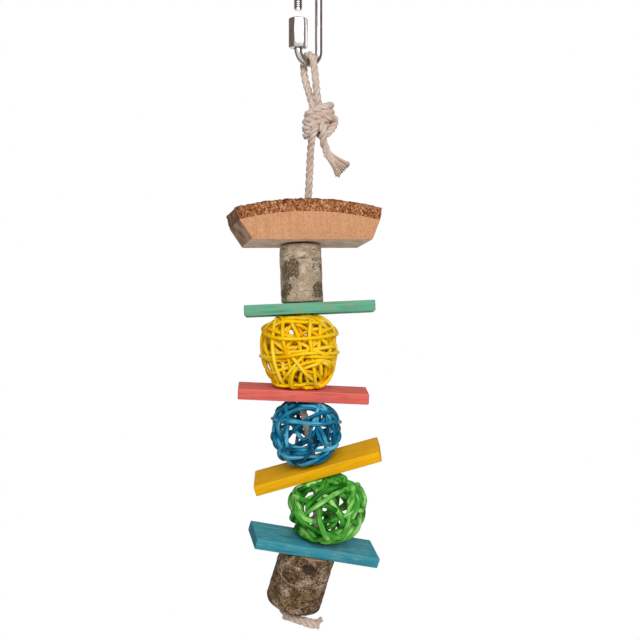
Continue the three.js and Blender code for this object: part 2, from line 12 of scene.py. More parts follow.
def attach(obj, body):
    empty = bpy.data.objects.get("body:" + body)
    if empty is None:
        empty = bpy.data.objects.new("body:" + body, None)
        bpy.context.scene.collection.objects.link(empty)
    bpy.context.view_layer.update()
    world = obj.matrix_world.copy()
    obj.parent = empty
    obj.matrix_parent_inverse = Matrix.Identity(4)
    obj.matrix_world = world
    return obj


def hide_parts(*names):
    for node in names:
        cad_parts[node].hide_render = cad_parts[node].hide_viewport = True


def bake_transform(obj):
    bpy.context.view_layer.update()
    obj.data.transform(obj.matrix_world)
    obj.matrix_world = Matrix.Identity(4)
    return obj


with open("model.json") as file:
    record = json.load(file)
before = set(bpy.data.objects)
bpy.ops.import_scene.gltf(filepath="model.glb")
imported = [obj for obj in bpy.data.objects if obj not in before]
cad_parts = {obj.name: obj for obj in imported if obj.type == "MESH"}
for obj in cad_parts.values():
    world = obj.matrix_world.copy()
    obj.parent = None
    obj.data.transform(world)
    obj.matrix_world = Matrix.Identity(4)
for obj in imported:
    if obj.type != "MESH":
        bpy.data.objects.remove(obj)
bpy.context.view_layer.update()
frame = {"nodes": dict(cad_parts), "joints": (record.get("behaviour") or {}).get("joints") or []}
scene = bpy.context.scene
MM = 0.001

# Sizes in mm and turns in degrees.
WIRE_R = 2.5
LINK_HALF_WIDTH = 8.2
LINK_TOP_BEND_Z = -5.7
LINK_LOW_BEND_Z = -46.3
LINK_YAW = 36
THREAD_END_Z = -21.3
THREAD_PITCH = 1.3
NUT_LOW_Z = -46
NUT_LENGTH = 19.5
NUT_ACROSS_FLATS = 11
NUT_BORE_R = 3
NUT_TURN = 39
ROPE_D = 5
ROPE_LAY = 13.5
KNOT_X = 6.3
KNOT_Z = -91.5
HOLE_R = 5
SLAB_DEPTH = 35
SLAB_HEIGHT = 24
SLAB_LOW_LENGTH = 78.6
SLAB_TOP_LENGTH = 104.9
SLAB_TOP_SHIFT = -2.3
SLAB_ROUND_R = 190.1
BARK_HEIGHT = 22
BARK_LOW_LENGTH = 90.9
BARK_TOP_LENGTH = 103.5
BARK_INNER_R = 189.9
BARK_OUTER_R = 198.9
UPPER_LOG_R = 13.5
UPPER_LOG_HEIGHT = 37.2
LOWER_LOG_R = 18
LOWER_LOG_HEIGHT = 41
SLAT_LENGTH = 84
SLAT_WIDTH = 26
SLAT_THICK = 7

SPINS = {joint["name"][:-5]: joint for joint in frame["joints"] if joint["name"].endswith("_spin")}

# How each piece leans on the rope, in degrees: pitch, roll and yaw.
LEANS = {
    "slab": (-5.4, -2.4, 15),
    "upper_log": (-3.2, -2, 0),
    "green_slat": (-2.4, -2.5, 1),
    "red_slat": (7.3, 3, 3.2),
    "yellow_slat": (16.1, -17.4, -4.6),
    "blue_slat": (14.5, 16.8, 17.2),
    "lower_log": (14.5, 16.8, 0),
}
# The middle of the trunk that the slab was sawn from, in the slab's own axes and in metres.
TRUNK_MIDDLE = (-0.0016, 0, -0.17178)
# How much farther out the bark's ends are, for each mm up.
BARK_END_SLOPE = 0.286
# How far each slat's rope hole is from its middle.
SLAT_HOLES = {"green_slat": -5.5, "red_slat": -1.6, "yellow_slat": -2.2, "blue_slat": -0.8}


def hole_of(piece):
    """Where the rope goes through a piece."""
    return Vector(SPINS[piece]["pos_m"])


def place_of(piece):
    """Where a piece hangs and how it leans."""
    pitch, roll, yaw = (math.radians(angle) for angle in LEANS[piece])
    lean = Matrix.Rotation(roll, 4, "Y") @ Matrix.Rotation(pitch, 4, "X") @ Matrix.Rotation(yaw, 4, "Z")
    to_middle = Matrix.Translation((-SLAT_HOLES.get(piece, 0) * MM, 0, 0))
    return Matrix.Translation(hole_of(piece)) @ lean @ to_middle


def on_log(x, y, z):
    """A place in the lower log's own axes, in mm of the whole toy."""
    return tuple(place_of("lower_log") @ (Vector((x, y, z)) * MM) / MM)


# Modelling


def deselect():
    bpy.ops.object.select_all(action="DESELECT")


def work_on(piece):
    deselect()
    piece.select_set(True)
    bpy.context.view_layer.objects.active = piece


def added(name):
    """Names the shape that was just added."""
    piece = bpy.context.object
    piece.name = name
    piece.data.name = name
    return piece


def add_box(name, size, middle=(0, 0, 0)):
    """A box of that size about its middle, in mm."""
    deselect()
    bpy.ops.mesh.primitive_cube_add(size=1, location=[v * MM for v in middle])
    box = added(name)
    box.scale = [v * MM for v in size]
    bpy.ops.object.transform_apply(location=True, rotation=True, scale=True)
    return box


def add_rod(name, sides, radius, length, **settings):
    """A bar of that radius and length in mm, upright at the origin if the settings do not place it."""
    deselect()
    bpy.ops.mesh.primitive_cylinder_add(vertices=sides, radius=radius * MM, depth=length * MM, **settings)
    return added(name)


def finish_with(piece, kind, **settings):
    """Puts a modifier on a piece and applies it."""
    work_on(piece)
    modifier = piece.modifiers.new(kind.lower(), kind)
    for key, value in settings.items():
        setattr(modifier, key, value)
    bpy.ops.object.modifier_apply(modifier=modifier.name)


def cut(piece, tool, operation="DIFFERENCE"):
    """Cuts a piece with a tool shape and puts the tool away."""
    finish_with(piece, "BOOLEAN", object=tool, operation=operation, solver="EXACT")
    bpy.data.objects.remove(tool)


def soften(piece, width, segments):
    """Rounds the sharp edges of a piece by that width in mm."""
    finish_with(piece, "BEVEL", width=width * MM, segments=segments, limit_method="ANGLE",
                angle_limit=math.radians(40))


def screw_up(piece, pitch, turns, steps):
    """Sweeps an outline round and up the Z axis, by that pitch in mm each turn."""
    finish_with(piece, "SCREW", axis="Z", angle=math.tau, screw_offset=pitch * MM, iterations=turns,
                steps=steps, render_steps=steps, use_merge_vertices=False, use_smooth_shade=True)


def roughen(piece, pattern, size, depth, middle=0.5, group="", **settings):
    """Pushes the surface in and out by a pattern of that size and depth in mm."""
    texture = bpy.data.textures.new(piece.name + pattern.lower(), pattern)
    texture.noise_scale = size * MM
    for key, value in settings.items():
        setattr(texture, key, value)
    finish_with(piece, "DISPLACE", texture=texture, texture_coords="LOCAL", strength=depth * MM,
                mid_level=middle, vertex_group=group)


def drill(piece, x=0, radius=HOLE_R):
    """Bores the rope's hole down through a piece."""
    cut(piece, add_rod("drill", 48, radius, 200, location=(x * MM, 0, 0)))


def pick(piece, kind, test):
    """Edit mode, with only the vertices, edges or faces that pass a test selected."""
    work_on(piece)
    bpy.ops.object.mode_set(mode="EDIT")
    bpy.ops.mesh.select_mode(type=kind)
    bpy.ops.mesh.select_all(action="DESELECT")
    mesh = bmesh.from_edit_mesh(piece.data)
    for part in {"VERT": mesh.verts, "EDGE": mesh.edges, "FACE": mesh.faces}[kind]:
        if test(part):
            part.select_set(True)
    mesh.select_flush_mode()
    bmesh.update_edit_mesh(piece.data)


def done():
    bpy.ops.object.mode_set(mode="OBJECT")


def close_ends(piece):
    """Fills the open ends of a swept piece and turns its faces outwards."""
    pick(piece, "EDGE", lambda edge: edge.is_boundary)
    bpy.ops.mesh.fill_holes(sides=0)
    bpy.ops.mesh.select_all(action="SELECT")
    bpy.ops.mesh.normals_make_consistent(inside=False)
    done()


def smooth(piece, degrees):
    work_on(piece)
    bpy.ops.object.shade_smooth_by_angle(angle=math.radians(degrees))


def settle(piece, place):
    """Moves a finished piece to its place and leaves its object at the origin."""
    piece.matrix_world = place
    work_on(piece)
    bpy.ops.object.transform_apply(location=True, rotation=True, scale=True)


def hang(piece, body, slot, material, *nodes):
    """Dresses a piece, ties it to its body and hides the named solids."""
    piece.data.materials.clear()
    piece.data.materials.append(material)
    if body:
        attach(piece, body)
    if nodes:
        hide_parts(*nodes)
    return piece


def smooth_line(stops, per_span=10):
    """A smooth line through stops in mm, as points in metres."""
    p = np.array(stops, float) * MM
    p = np.vstack([2 * p[0] - p[1], p, 2 * p[-1] - p[-2]])
    t = np.linspace(0, 1, per_span, endpoint=False)[:, None]
    spans = []
    for a, b, c, d in zip(p, p[1:], p[2:], p[3:]):
        bend = 2 * a - 5 * b + 4 * c - d
        turn = 3 * b - a - 3 * c + d
        spans.append(0.5 * (2 * b + (c - a) * t + bend * t**2 + turn * t**3))
    return np.vstack(spans + [p[-2:-1]])


def even_line(line, step):
    """The same line with points an even step apart, and its length."""
    run = np.concatenate([[0], np.cumsum(np.linalg.norm(np.diff(line, axis=0), axis=1))])
    at = np.linspace(0, run[-1], max(6, round(run[-1] / (step * MM))) + 1)
    return np.column_stack([np.interp(at, run, line[:, k]) for k in range(3)]), run[-1]


def guide_curve(name, lines, radii=None, closed=False, thick=0, round_steps=0):
    """Splines through the points of each line, round and thick where a radius is given."""
    curve = bpy.data.curves.new(name, "CURVE")
    curve.dimensions = "3D"
    curve.bevel_depth = thick
    curve.bevel_resolution = round_steps
    curve.use_fill_caps = bool(thick) and not closed
    for number, line in enumerate(lines):
        spline = curve.splines.new("POLY")
        spline.points.add(len(line) - 1)
        spline.points.foreach_set("co", np.column_stack([line, np.ones(len(line))]).ravel())
        if radii is not None:
            spline.points.foreach_set("radius", np.asarray(radii[number], float))
        spline.use_cyclic_u = closed
    guide = bpy.data.objects.new(name, curve)
    scene.collection.objects.link(guide)
    return guide


def to_mesh(guide):
    work_on(guide)
    bpy.ops.object.convert(target="MESH")
    return added(guide.name)


# Materials


def linear(code):
    """A sRGB hex colour as linear red, green, blue and opacity."""
    parts = [int(code[i:i + 2], 16) / 255 for i in (1, 3, 5)]
    return [c / 12.92 if c <= 0.04045 else ((c + 0.055) / 1.055) ** 2.4 for c in parts] + [1]


def add_node(tree, kind, inputs=(), stops=(), **settings):
    """Adds a node with its settings, ramp stops and inputs, named or in the order of the sockets in use.

    An input is a value, a hex colour, a socket to link or a node, which stands for its first output in use.
    """
    node = tree.nodes[kind] if " " in kind else tree.nodes.new("ShaderNode" + kind)
    for key, value in settings.items():
        setattr(node, key, value)
    for index, (position, colour) in enumerate(stops):
        elements = node.color_ramp.elements
        element = elements[index] if index < 2 else elements.new(position)
        element.position = position
        element.color = linear(colour)
    if isinstance(inputs, dict):
        wanted = [(node.inputs[name], value) for name, value in inputs.items()]
    else:
        wanted = zip([socket for socket in node.inputs if socket.enabled], inputs)
    for socket, value in wanted:
        if isinstance(value, bpy.types.Node):
            value = next(output for output in value.outputs if output.enabled)
        if isinstance(value, bpy.types.NodeSocket):
            tree.links.new(value, socket)
        else:
            socket.default_value = linear(value) if isinstance(value, str) else value
    return node


def new_material(name):
    """A material, and add_node bound to its nodes."""
    material = bpy.data.materials.new(name)
    material.use_nodes = True
    return material, functools.partial(add_node, material.node_tree)


def own_axes(add, place):
    """Object coordinates turned to a piece's own axes."""
    here = add("TexCoord").outputs["Object"]
    turned = {"Vector": here, "Location": place.translation, "Rotation": place.to_euler()}
    return add("Mapping", turned, vector_type="TEXTURE")


def surface(add, colour, rough, shine, relief, strength, deep, sheen=0):
    """Ends a material with its colour, roughness, shine and sheen, and with a relief so many mm deep."""
    normal = add("Bump", {"Height": relief, "Strength": strength, "Distance": deep * MM})
    add("Principled BSDF", {"Base Color": colour, "Roughness": rough, "Specular IOR Level": shine,
                            "Sheen Weight": sheen, "Normal": normal})


def year_rings(add, own, from_pith, swirl, bend, apart, late, dark):
    """Rings about the pith, so many mm apart, dark from where the late wood starts and bent by a noise."""
    noise = add("TexNoise", {"Vector": own, "Scale": swirl, "Detail": 2}).outputs["Color"]
    bent = add("VectorMath", [noise, bend, from_pith], operation="MULTIPLY_ADD")
    radius = add("VectorMath", [bent], operation="LENGTH")
    ring = add("Math", [radius, apart * MM], operation="MODULO")
    return add("MapRange", [ring, late * MM, apart * MM, 0, dark])


def thin_cracks(add, own, squash, scale, wander, shade):
    """Dark lines where a noise, wider than high, passes its middle; shade is how far and how dark."""
    flat = add("Mapping", {"Vector": own, "Scale": (squash, squash, 1)})
    noise = add("TexNoise", {"Vector": flat, "Scale": scale, "Detail": 5, "Distortion": wander})
    past_middle = add("Math", [noise, 0.5], operation="SUBTRACT")
    beside = add("Math", [past_middle], operation="ABSOLUTE")
    return add("MapRange", [beside, *shade])


def plated_steel(name, dark, pale):
    """Zinc-plated steel, tumbled bright: clear reflections with faint dull clouds; the thread is given darker
    colours.
    """
    material, add = new_material(name)
    here = add("TexCoord").outputs["Object"]
    # Dull clouds 5 mm across.
    cloud = add("TexNoise", {"Vector": here, "Scale": 200, "Detail": 3})
    colour = add("ValToRGB", [cloud], [(0.3, dark), (0.7, pale)])
    dull = add("MapRange", [cloud, 0.3, 0.7, 0.09, 0.15])
    add("Principled BSDF", {"Base Color": colour, "Metallic": 1, "Roughness": dull})
    return material


def twisted_rope():
    """Natural bast fibre, spun and laid in three strands: matt, hairy, with fibres along each strand."""
    material, add = new_material("bast_fibre_laid_rope")
    here = add("TexCoord").outputs["Object"]
    lay = add("Attribute", attribute_name="lay").outputs["Vector"]
    # Fibres drawn 0.35 mm wide and 4 mm long, and stains 12 mm across.
    along = add("Mapping", {"Vector": lay, "Scale": (1, 1, 0.09)})
    fibre = add("TexNoise", {"Vector": along, "Scale": 2800, "Detail": 3})
    stain = add("TexNoise", {"Vector": here, "Scale": 85, "Detail": 2})
    colour = add("ValToRGB", [fibre], [(0.28, "#B59A88"), (0.48, "#E2CFC1"), (0.72, "#F6EBE2")])
    tone = add("ValToRGB", [stain], [(0.3, "#E6D8CE"), (0.7, "#FFFFFF")])
    mixed = add("Mix", [1.0, colour, tone], data_type="RGBA", blend_type="MULTIPLY")
    surface(add, mixed, rough=0.9, shine=0.2, relief=fibre, strength=0.7, deep=0.3, sheen=0.25)
    return material


def stained_slat(name, dark, main, pale, bare):
    """Sawn pine, dipped in coloured stain: streaky along the grain, pale rubbed edges, darker ends."""
    material, add = new_material("stained_pine_" + name.split("_")[0])
    own = own_axes(add, place_of(name))
    # Grain lines 1.2 mm apart and up to 30 mm long, bands 5 mm apart, bare streaks 0.9 mm wide, and sanding
    # marks of 0.5 mm along the edges.
    long_way = add("Mapping", {"Vector": own, "Scale": (0.04, 1, 1)})
    streaky = add("Mapping", {"Vector": own, "Scale": (0.12, 1, 1)})
    grain = add("TexNoise", {"Vector": long_way, "Scale": 820, "Detail": 4, "Distortion": 0.6})
    band = add("TexNoise", {"Vector": long_way, "Scale": 200, "Detail": 3})
    streak = add("TexNoise", {"Vector": streaky, "Scale": 1100, "Detail": 5, "Roughness": 0.7})
    cloud = add("TexNoise", {"Vector": own, "Scale": 95, "Detail": 2})
    sanding = add("TexNoise", {"Vector": own, "Scale": 2000, "Detail": 2})
    both = add("Math", [grain, band], operation="ADD")
    half = add("Math", [both, 0.5], operation="MULTIPLY")
    colour = add("ValToRGB", [half], [(0.36, dark), (0.48, main), (0.56, main), (0.66, pale)])
    # The stain is thin in streaks, more so in some places than in others.
    thin = add("Math", [cloud, 0.55, streak], operation="MULTIPLY_ADD")
    thinned = add("MapRange", [thin, 0.78, 1.0, 0, 0.75])
    streaked = add("Mix", [thinned, colour, bare], data_type="RGBA")
    # How near a place is to two faces at once, which is where hands rub the edges.
    reach = add("VectorMath", [own], operation="ABSOLUTE")
    corner = (SLAT_LENGTH / 2 * MM, SLAT_WIDTH / 2 * MM, SLAT_THICK / 2 * MM)
    near = add("VectorMath", [reach, corner], operation="SUBTRACT")
    x, y, z = add("SeparateXYZ", [near]).outputs
    long_edge = add("Math", [y, z], operation="MINIMUM")
    end_edge = add("Math", [x, z], operation="MINIMUM")
    edge = add("Math", [long_edge, end_edge], operation="MAXIMUM")
    worn = add("Math", [sanding, 0.0012, edge], operation="MULTIPLY_ADD")
    rub = add("MapRange", [worn, -0.0002, 0.0004, 0, 0.45])
    rubbed = add("Mix", [rub, streaked, pale], data_type="RGBA")
    soak = add("MapRange", [x, -0.0006, -0.0001, 0, 0.7])
    soaked = add("Mix", [soak, rubbed, dark], data_type="RGBA")
    rough = add("MapRange", [grain, 0.3, 0.7, 0.8, 0.62])
    relief = add("Math", [streak, 0.8, grain], operation="MULTIPLY_ADD")
    surface(add, soaked, rough=rough, shine=0.15, relief=relief, strength=0.5, deep=0.5)
    return material


def dyed_rattan(name, dark, main, pale):
    """Rattan core, peeled, dyed and wound: round strands with a soft shine and fine streaks along them."""
    material, add = new_material("dyed_rattan_" + name.split("_")[0])
    strand = add("Attribute", attribute_name="strand").outputs["Vector"]
    # Streaks drawn 0.4 mm wide and 8 mm long; each strand took the dye a little differently, and the tones are
    # spread wider still as painted shade and painted highlight, scattered at random along the strands.
    along = add("Mapping", {"Vector": strand, "Scale": (1, 1, 0.05)})
    streak = add("TexNoise", {"Vector": along, "Scale": 2400, "Detail": 3})
    dye = add("TexNoise", {"Vector": strand, "Scale": 45, "Detail": 2})
    both = add("Math", [streak, 0.5, dye], operation="MULTIPLY_ADD")
    # The dark and pale stops are partly the dye's own tones and partly painted shade and painted highlight.
    colour = add("ValToRGB", [both], [(0.6, dark), (0.71, main), (0.78, main), (0.89, pale)])
    rough = add("MapRange", [streak, 0.3, 0.7, 0.38, 0.55])
    surface(add, colour, rough=rough, shine=0.1, relief=streak, strength=0.4, deep=0.2)
    return material


def sawn_pine():
    """Pine sawn across the trunk: peach faces with faint rays and rings, weathered ends and underside."""
    material, add = new_material("sawn_pine_end_grain")
    own = own_axes(add, place_of("slab"))
    # Rings 5 mm apart round the trunk's middle, rays 1.2 mm apart, saw dust drawn at 0.7 mm, stains of 9 mm.
    from_pith = add("Mapping", {"Vector": own, "Location": [-v for v in TRUNK_MIDDLE], "Scale": (1, 0.02, 1)})
    year = year_rings(add, own, from_pith, 60, (0.006, 0, 0.006), apart=5, late=3, dark=0.1)
    rays_at = add("Mapping", {"Vector": own, "Rotation": (0, 0.08, 0), "Scale": (1, 0.3, 0.045)})
    ray = add("TexNoise", {"Vector": rays_at, "Scale": 820, "Detail": 4})
    dust = add("TexNoise", {"Vector": own, "Scale": 1400, "Detail": 4})
    stain = add("TexNoise", {"Vector": own, "Scale": 110, "Detail": 5})
    colour = add("ValToRGB", [ray], [(0.3, "#D29A70"), (0.52, "#D7A178"), (0.7, "#DCA880")])
    ringed = add("Mix", [year, colour, "#C08055"], data_type="RGBA")
    tone = add("ValToRGB", [dust], [(0.3, "#E4D3C6"), (0.6, "#FFFFFF")])
    sawn = add("Mix", [1.0, ringed, tone], data_type="RGBA", blend_type="MULTIPLY")
    # Faces other than the two sawn ones are grey-brown, the underside a little paler than the ends.
    _, y, z = add("SeparateXYZ", [own]).outputs
    ends = add("ValToRGB", [stain], [(0.35, "#7F5F49"), (0.5, "#AA8268"), (0.66, "#C4A085")])
    under = add("ValToRGB", [stain], [(0.35, "#CDAD97"), (0.5, "#E2C2AC"), (0.66, "#EDD4C4")])
    low = add("MapRange", [z, 0.0009, 0.0003])
    weathered = add("Mix", [low, ends, under], data_type="RGBA")
    from_middle = add("Math", [y], operation="ABSOLUTE")
    between_faces = add("MapRange", [from_middle, 0.0174, 0.0169])
    mixed = add("Mix", [between_faces, sawn, weathered], data_type="RGBA")
    relief = add("Math", [dust, 0.8, ray], operation="MULTIPLY_ADD")
    surface(add, mixed, rough=0.82, shine=0.2, relief=relief, strength=0.4, deep=0.4)
    return material


def pine_bark():
    """Pine bark: rusty, crumbly layers where it is sawn, weathered grey-brown plates outside."""
    material, add = new_material("pine_bark_rough")
    own = own_axes(add, place_of("slab"))
    # Streaks 1.2 mm wide up the bark, crumbs of 0.8 mm, plates of 5 mm; the outer 2 mm and the sloping ends
    # are weathered.
    middle = add("Mapping", {"Vector": own, "Location": [-v for v in TRUNK_MIDDLE], "Scale": (1, 0, 1)})
    radius = add("VectorMath", [middle], operation="LENGTH")
    flat = add("Mapping", {"Vector": own, "Scale": (1, 0.6, 0.5)})
    layer = add("TexNoise", {"Vector": flat, "Scale": 800, "Detail": 6, "Roughness": 0.72, "Distortion": 0.8})
    crumb = add("TexNoise", {"Vector": own, "Scale": 1250, "Detail": 4})
    plate = add("TexNoise", {"Vector": own, "Scale": 190, "Detail": 5})
    both = add("Math", [crumb, 0.45, layer], operation="MULTIPLY_ADD")
    sawn = add("ValToRGB", [both],
               [(0.62, "#45200F"), (0.69, "#945630"), (0.78, "#BC7C4E"), (0.87, "#E2B790")])
    weathered = add("ValToRGB", [plate], [(0.32, "#4A3528"), (0.5, "#7C5F4A"), (0.66, "#A38974")])
    edge = add("Math", [plate, 0.002, radius], operation="MULTIPLY_ADD")
    outside = add("MapRange", [edge, 0.1984, 0.1997])
    x, _, z = add("SeparateXYZ", [middle]).outputs
    from_middle = add("Math", [x], operation="ABSOLUTE")
    to_end = add("Math", [z, -BARK_END_SLOPE, from_middle], operation="MULTIPLY_ADD")
    at_end = add("MapRange", [to_end, -0.0075, -0.0065, 0, 0.85])
    worn = add("Math", [outside, at_end], operation="MAXIMUM")
    mixed = add("Mix", [worn, sawn, weathered], data_type="RGBA")
    surface(add, mixed, rough=0.92, shine=0.15, relief=both, strength=0.8, deep=0.8)
    return material


# Dark scuffs on the upper log in its own axes: place and size, in mm.
SCUFFS = [((-7.6, -11, 3), 7), ((11, -7.6, -11.2), 4.8), ((-10, -9, -11.4), 4.2), ((12.2, -5, 4.1), 3),
          ((3, 13, -4), 5), ((-9, 9, 9), 4)]


def grey_bark():
    """Smooth young bark: grey-beige skin, speckled, with dark scuffed patches and fine cracks across it."""
    material, add = new_material("young_bark_grey")
    own = own_axes(add, place_of("upper_log"))
    # Mottling 7 mm across, speckle 0.8 mm, thin cracks about 8 mm apart up the branch.
    mottle = add("TexNoise", {"Vector": own, "Scale": 140, "Detail": 5})
    speckle = add("TexNoise", {"Vector": own, "Scale": 1250, "Detail": 4, "Roughness": 0.65})
    colour = add("ValToRGB", [mottle], [(0.3, "#9C866E"), (0.5, "#BEAA91"), (0.68, "#D2C2AD")])
    dots = add("ValToRGB", [speckle], [(0.34, "#5F4B38"), (0.46, "#FFFFFF")])
    skin = add("Mix", [0.75, colour, dots], data_type="RGBA", blend_type="MULTIPLY")
    nearest = 1.0
    for place, size in SCUFFS:
        away = add("VectorMath", [own, [v * MM for v in place]], operation="DISTANCE")
        past = add("Math", [away, size * MM], operation="SUBTRACT")
        nearest = add("Math", [past, nearest], operation="MINIMUM")
    ragged = add("Math", [mottle, 0.012, nearest], operation="MULTIPLY_ADD")
    torn = add("Math", [speckle, 0.006, ragged], operation="MULTIPLY_ADD")
    patch = add("MapRange", [torn, 0.0092, 0.0082, 0, 0.95])
    grains = add("ValToRGB", [speckle], [(0.4, "#2C2014"), (0.52, "#6B5B42"), (0.63, "#A9977B")])
    scuffed = add("Mix", [patch, skin, grains], data_type="RGBA")
    cracked = thin_cracks(add, own, 0.3, 210, 0.6, shade=(0.014, 0.004, 0, 0.85))
    open_here = add("MapRange", [mottle, 0.44, 0.52])
    split = add("Math", [cracked, open_here], operation="MULTIPLY")
    mixed = add("Mix", [split, scuffed, "#46331F"], data_type="RGBA")
    dark = add("Math", [patch, split], operation="MAXIMUM")
    height = add("Math", [speckle, 0.6, mottle], operation="MULTIPLY_ADD")
    relief = add("Math", [height, dark], operation="SUBTRACT")
    surface(add, mixed, rough=0.85, shine=0.2, relief=relief, strength=0.6, deep=0.6)
    return material


# Where a side branch was cut off the lower log, in the log's own axes.
BRANCH_SCAR = (2.9, -17.7, 14.6)


def brown_bark():
    """Older bark: olive-brown and grey-beige patches, speckled, with pale ridges and one dark branch scar."""
    material, add = new_material("old_bark_brown")
    own = own_axes(add, place_of("lower_log"))
    # Patches 9 mm across broken up by speckle of 0.9 mm, cracks 10 mm apart; crest is where it is raised.
    tone = add("TexNoise", {"Vector": own, "Scale": 105, "Detail": 8, "Roughness": 0.62, "Distortion": 0.8})
    speckle = add("TexNoise", {"Vector": own, "Scale": 1100, "Detail": 5, "Roughness": 0.68})
    crest = add("Attribute", attribute_name="crest").outputs["Fac"]
    flaky = add("Math", [speckle, 0.35, tone], operation="MULTIPLY_ADD")
    colour = add("ValToRGB", [flaky],
                 [(0.56, "#705739"), (0.66, "#967C5E"), (0.74, "#B9A087"), (0.82, "#D0BAA7")])
    dots = add("ValToRGB", [speckle], [(0.38, "#3A2A1C"), (0.5, "#D8CCC0"), (0.62, "#FFFFFF")])
    skin = add("Mix", [0.9, colour, dots], data_type="RGBA", blend_type="MULTIPLY")
    pale = add("Math", [crest, speckle], operation="MULTIPLY")
    shown = add("MapRange", [pale, 0.25, 0.5, 0, 0.8])
    ridged = add("Mix", [shown, skin, "#C2AE97"], data_type="RGBA")
    from_scar = add("VectorMath", [own, [v * MM for v in BRANCH_SCAR]], operation="SUBTRACT")
    wide = add("VectorMath", [from_scar, (0.75, 0.75, 0.9)], operation="MULTIPLY")
    away = add("VectorMath", [wide], operation="LENGTH")
    rough_edge = add("Math", [speckle, 0.005, away], operation="MULTIPLY_ADD")
    scar = add("MapRange", [rough_edge, 0.0078, 0.0054, 0, 0.92])
    cracked = thin_cracks(add, own, 0.45, 170, 0.8, shade=(0.03, 0.012, 0, 0.7))
    dark = add("Math", [scar, cracked], operation="MAXIMUM")
    scarred = add("Mix", [dark, ridged, "#2B1A0F"], data_type="RGBA")
    height = add("Math", [speckle, 0.7, tone], operation="MULTIPLY_ADD")
    surface(add, scarred, rough=0.9, shine=0.2, relief=height, strength=0.7, deep=0.8)
    return material


def branch_wood(name):
    """Branch wood sawn across: pale, with close year rings round the pith and a dry fibrous face."""
    material, add = new_material("sawn_branch_wood_" + name.split("_")[0])
    own = own_axes(add, place_of(name))
    # Year rings 1.9 mm apart, fibres drawn at 0.7 mm.
    from_pith = add("Mapping", {"Vector": own, "Scale": (1, 1, 0)})
    year = year_rings(add, own, from_pith, 110, (0.003, 0.003, 0), apart=1.9, late=0.8, dark=0.6)
    fibre = add("TexNoise", {"Vector": own, "Scale": 1400, "Detail": 3})
    colour = add("ValToRGB", [fibre], [(0.3, "#B8946B"), (0.7, "#D3B48C")])
    mixed = add("Mix", [year, colour, "#94704A"], data_type="RGBA")
    surface(add, mixed, rough=0.85, shine=0.2, relief=fibre, strength=0.4, deep=0.4)
    return material


# Camera


def set_camera():
    data = bpy.data.cameras.new("camera")
    data.lens = 67.5
    data.sensor_width = 36
    camera = bpy.data.objects.new("camera", data)
    camera.location = (0.0075, -0.78, -0.22145)
    camera.rotation_euler = (math.pi / 2, 0, 0)
    scene.collection.objects.link(camera)
    scene.camera = camera


# Rope


def lay_rope(name, line, diameter=ROPE_D, plump=0.27):
    """Three round strands laid about each other and bent along a line; plump ones close the grooves."""
    line, length = even_line(line, 1.5)
    turns = max(1, round(length / (ROPE_LAY * MM)))
    sides = 10
    steps = 18
    strand = plump * diameter * MM
    apart = (0.5 - plump) * diameter * MM
    deselect()
    bpy.ops.mesh.primitive_circle_add(vertices=sides, radius=strand, location=(0, 0, 0))
    rope = added(name)
    bpy.ops.object.mode_set(mode="EDIT")
    bpy.ops.transform.translate(value=(apart, 0, 0))
    for third in (1, 2):
        bpy.ops.mesh.select_all(action="DESELECT")
        angle = third * math.tau / 3
        bpy.ops.mesh.primitive_circle_add(vertices=sides, radius=strand,
                                          location=(apart * math.cos(angle), apart * math.sin(angle), 0))
    done()
    screw_up(rope, length / turns / MM, turns, steps)
    # Where each place is on its own strand, for the fibres to follow; strands are 20 mm apart in the pattern.
    number = np.arange(len(rope.data.vertices))
    around = number % sides * math.tau / sides
    lay = np.column_stack([strand * np.cos(around) + number % (3 * sides) // sides * 0.02,
                           strand * np.sin(around), number // (3 * sides) * length / (turns * steps)])
    rope.data.attributes.new("lay", "FLOAT_VECTOR", "POINT").data.foreach_set("vector", lay.ravel())
    close_ends(rope)
    guide = guide_curve(name + "_guide", [line])
    finish_with(rope, "CURVE", object=guide, deform_axis="POS_Z")
    bpy.data.objects.remove(guide)
    smooth(rope, 60)
    return rope


def stray_fibres(name, line, count, seed, longest=3.0, radius=ROPE_D / 2):
    """Fine hairs that stand off a rope."""
    rng = np.random.default_rng(seed)
    line, _ = even_line(line, 1)
    hairs = []
    for _ in range(count):
        at = rng.integers(1, len(line) - 2)
        along = line[at + 1] - line[at - 1]
        along /= np.linalg.norm(along)
        out = np.cross(along, rng.normal(size=3))
        out /= np.linalg.norm(out)
        reach = rng.uniform(0.4, 1) * longest
        sweep = along * rng.choice([-1, 1])
        t = np.linspace(0, 1, 6)[:, None]
        curl = np.cross(out, along) * rng.uniform(-0.6, 0.6)
        hairs.append(line[at] + out * (radius * 0.8 + reach * 0.45 * t) * MM + sweep * (reach * t**1.3) * MM
                     + curl * (reach * t**2) * MM)
    return to_mesh(guide_curve(name, hairs, [np.linspace(1, 0.5, 6)] * count, thick=0.00009))


# How the rope leaves the loop knot, what it then goes through below the slab, and how far from each ball's
# middle it passes to the right and back, in mm.
ROPE_STOPS_IN_KNOT = [(5.6, -4.5, -94.5), (4.4, -8.6, -98.6), (2.7, -8.2, -102.2), (1.9, -5.4, -106.5),
                      (1.3, -2.4, -113)]
THREADED = ["upper_log", "green_slat", "yellow_ball", "red_slat", "blue_ball", "yellow_slat", "green_ball",
            "blue_slat"]
BALL_ROPE_OFFSETS = {"yellow_ball": (1, 0.8), "blue_ball": (0.9, 0.4), "green_ball": (-7, 1.2)}


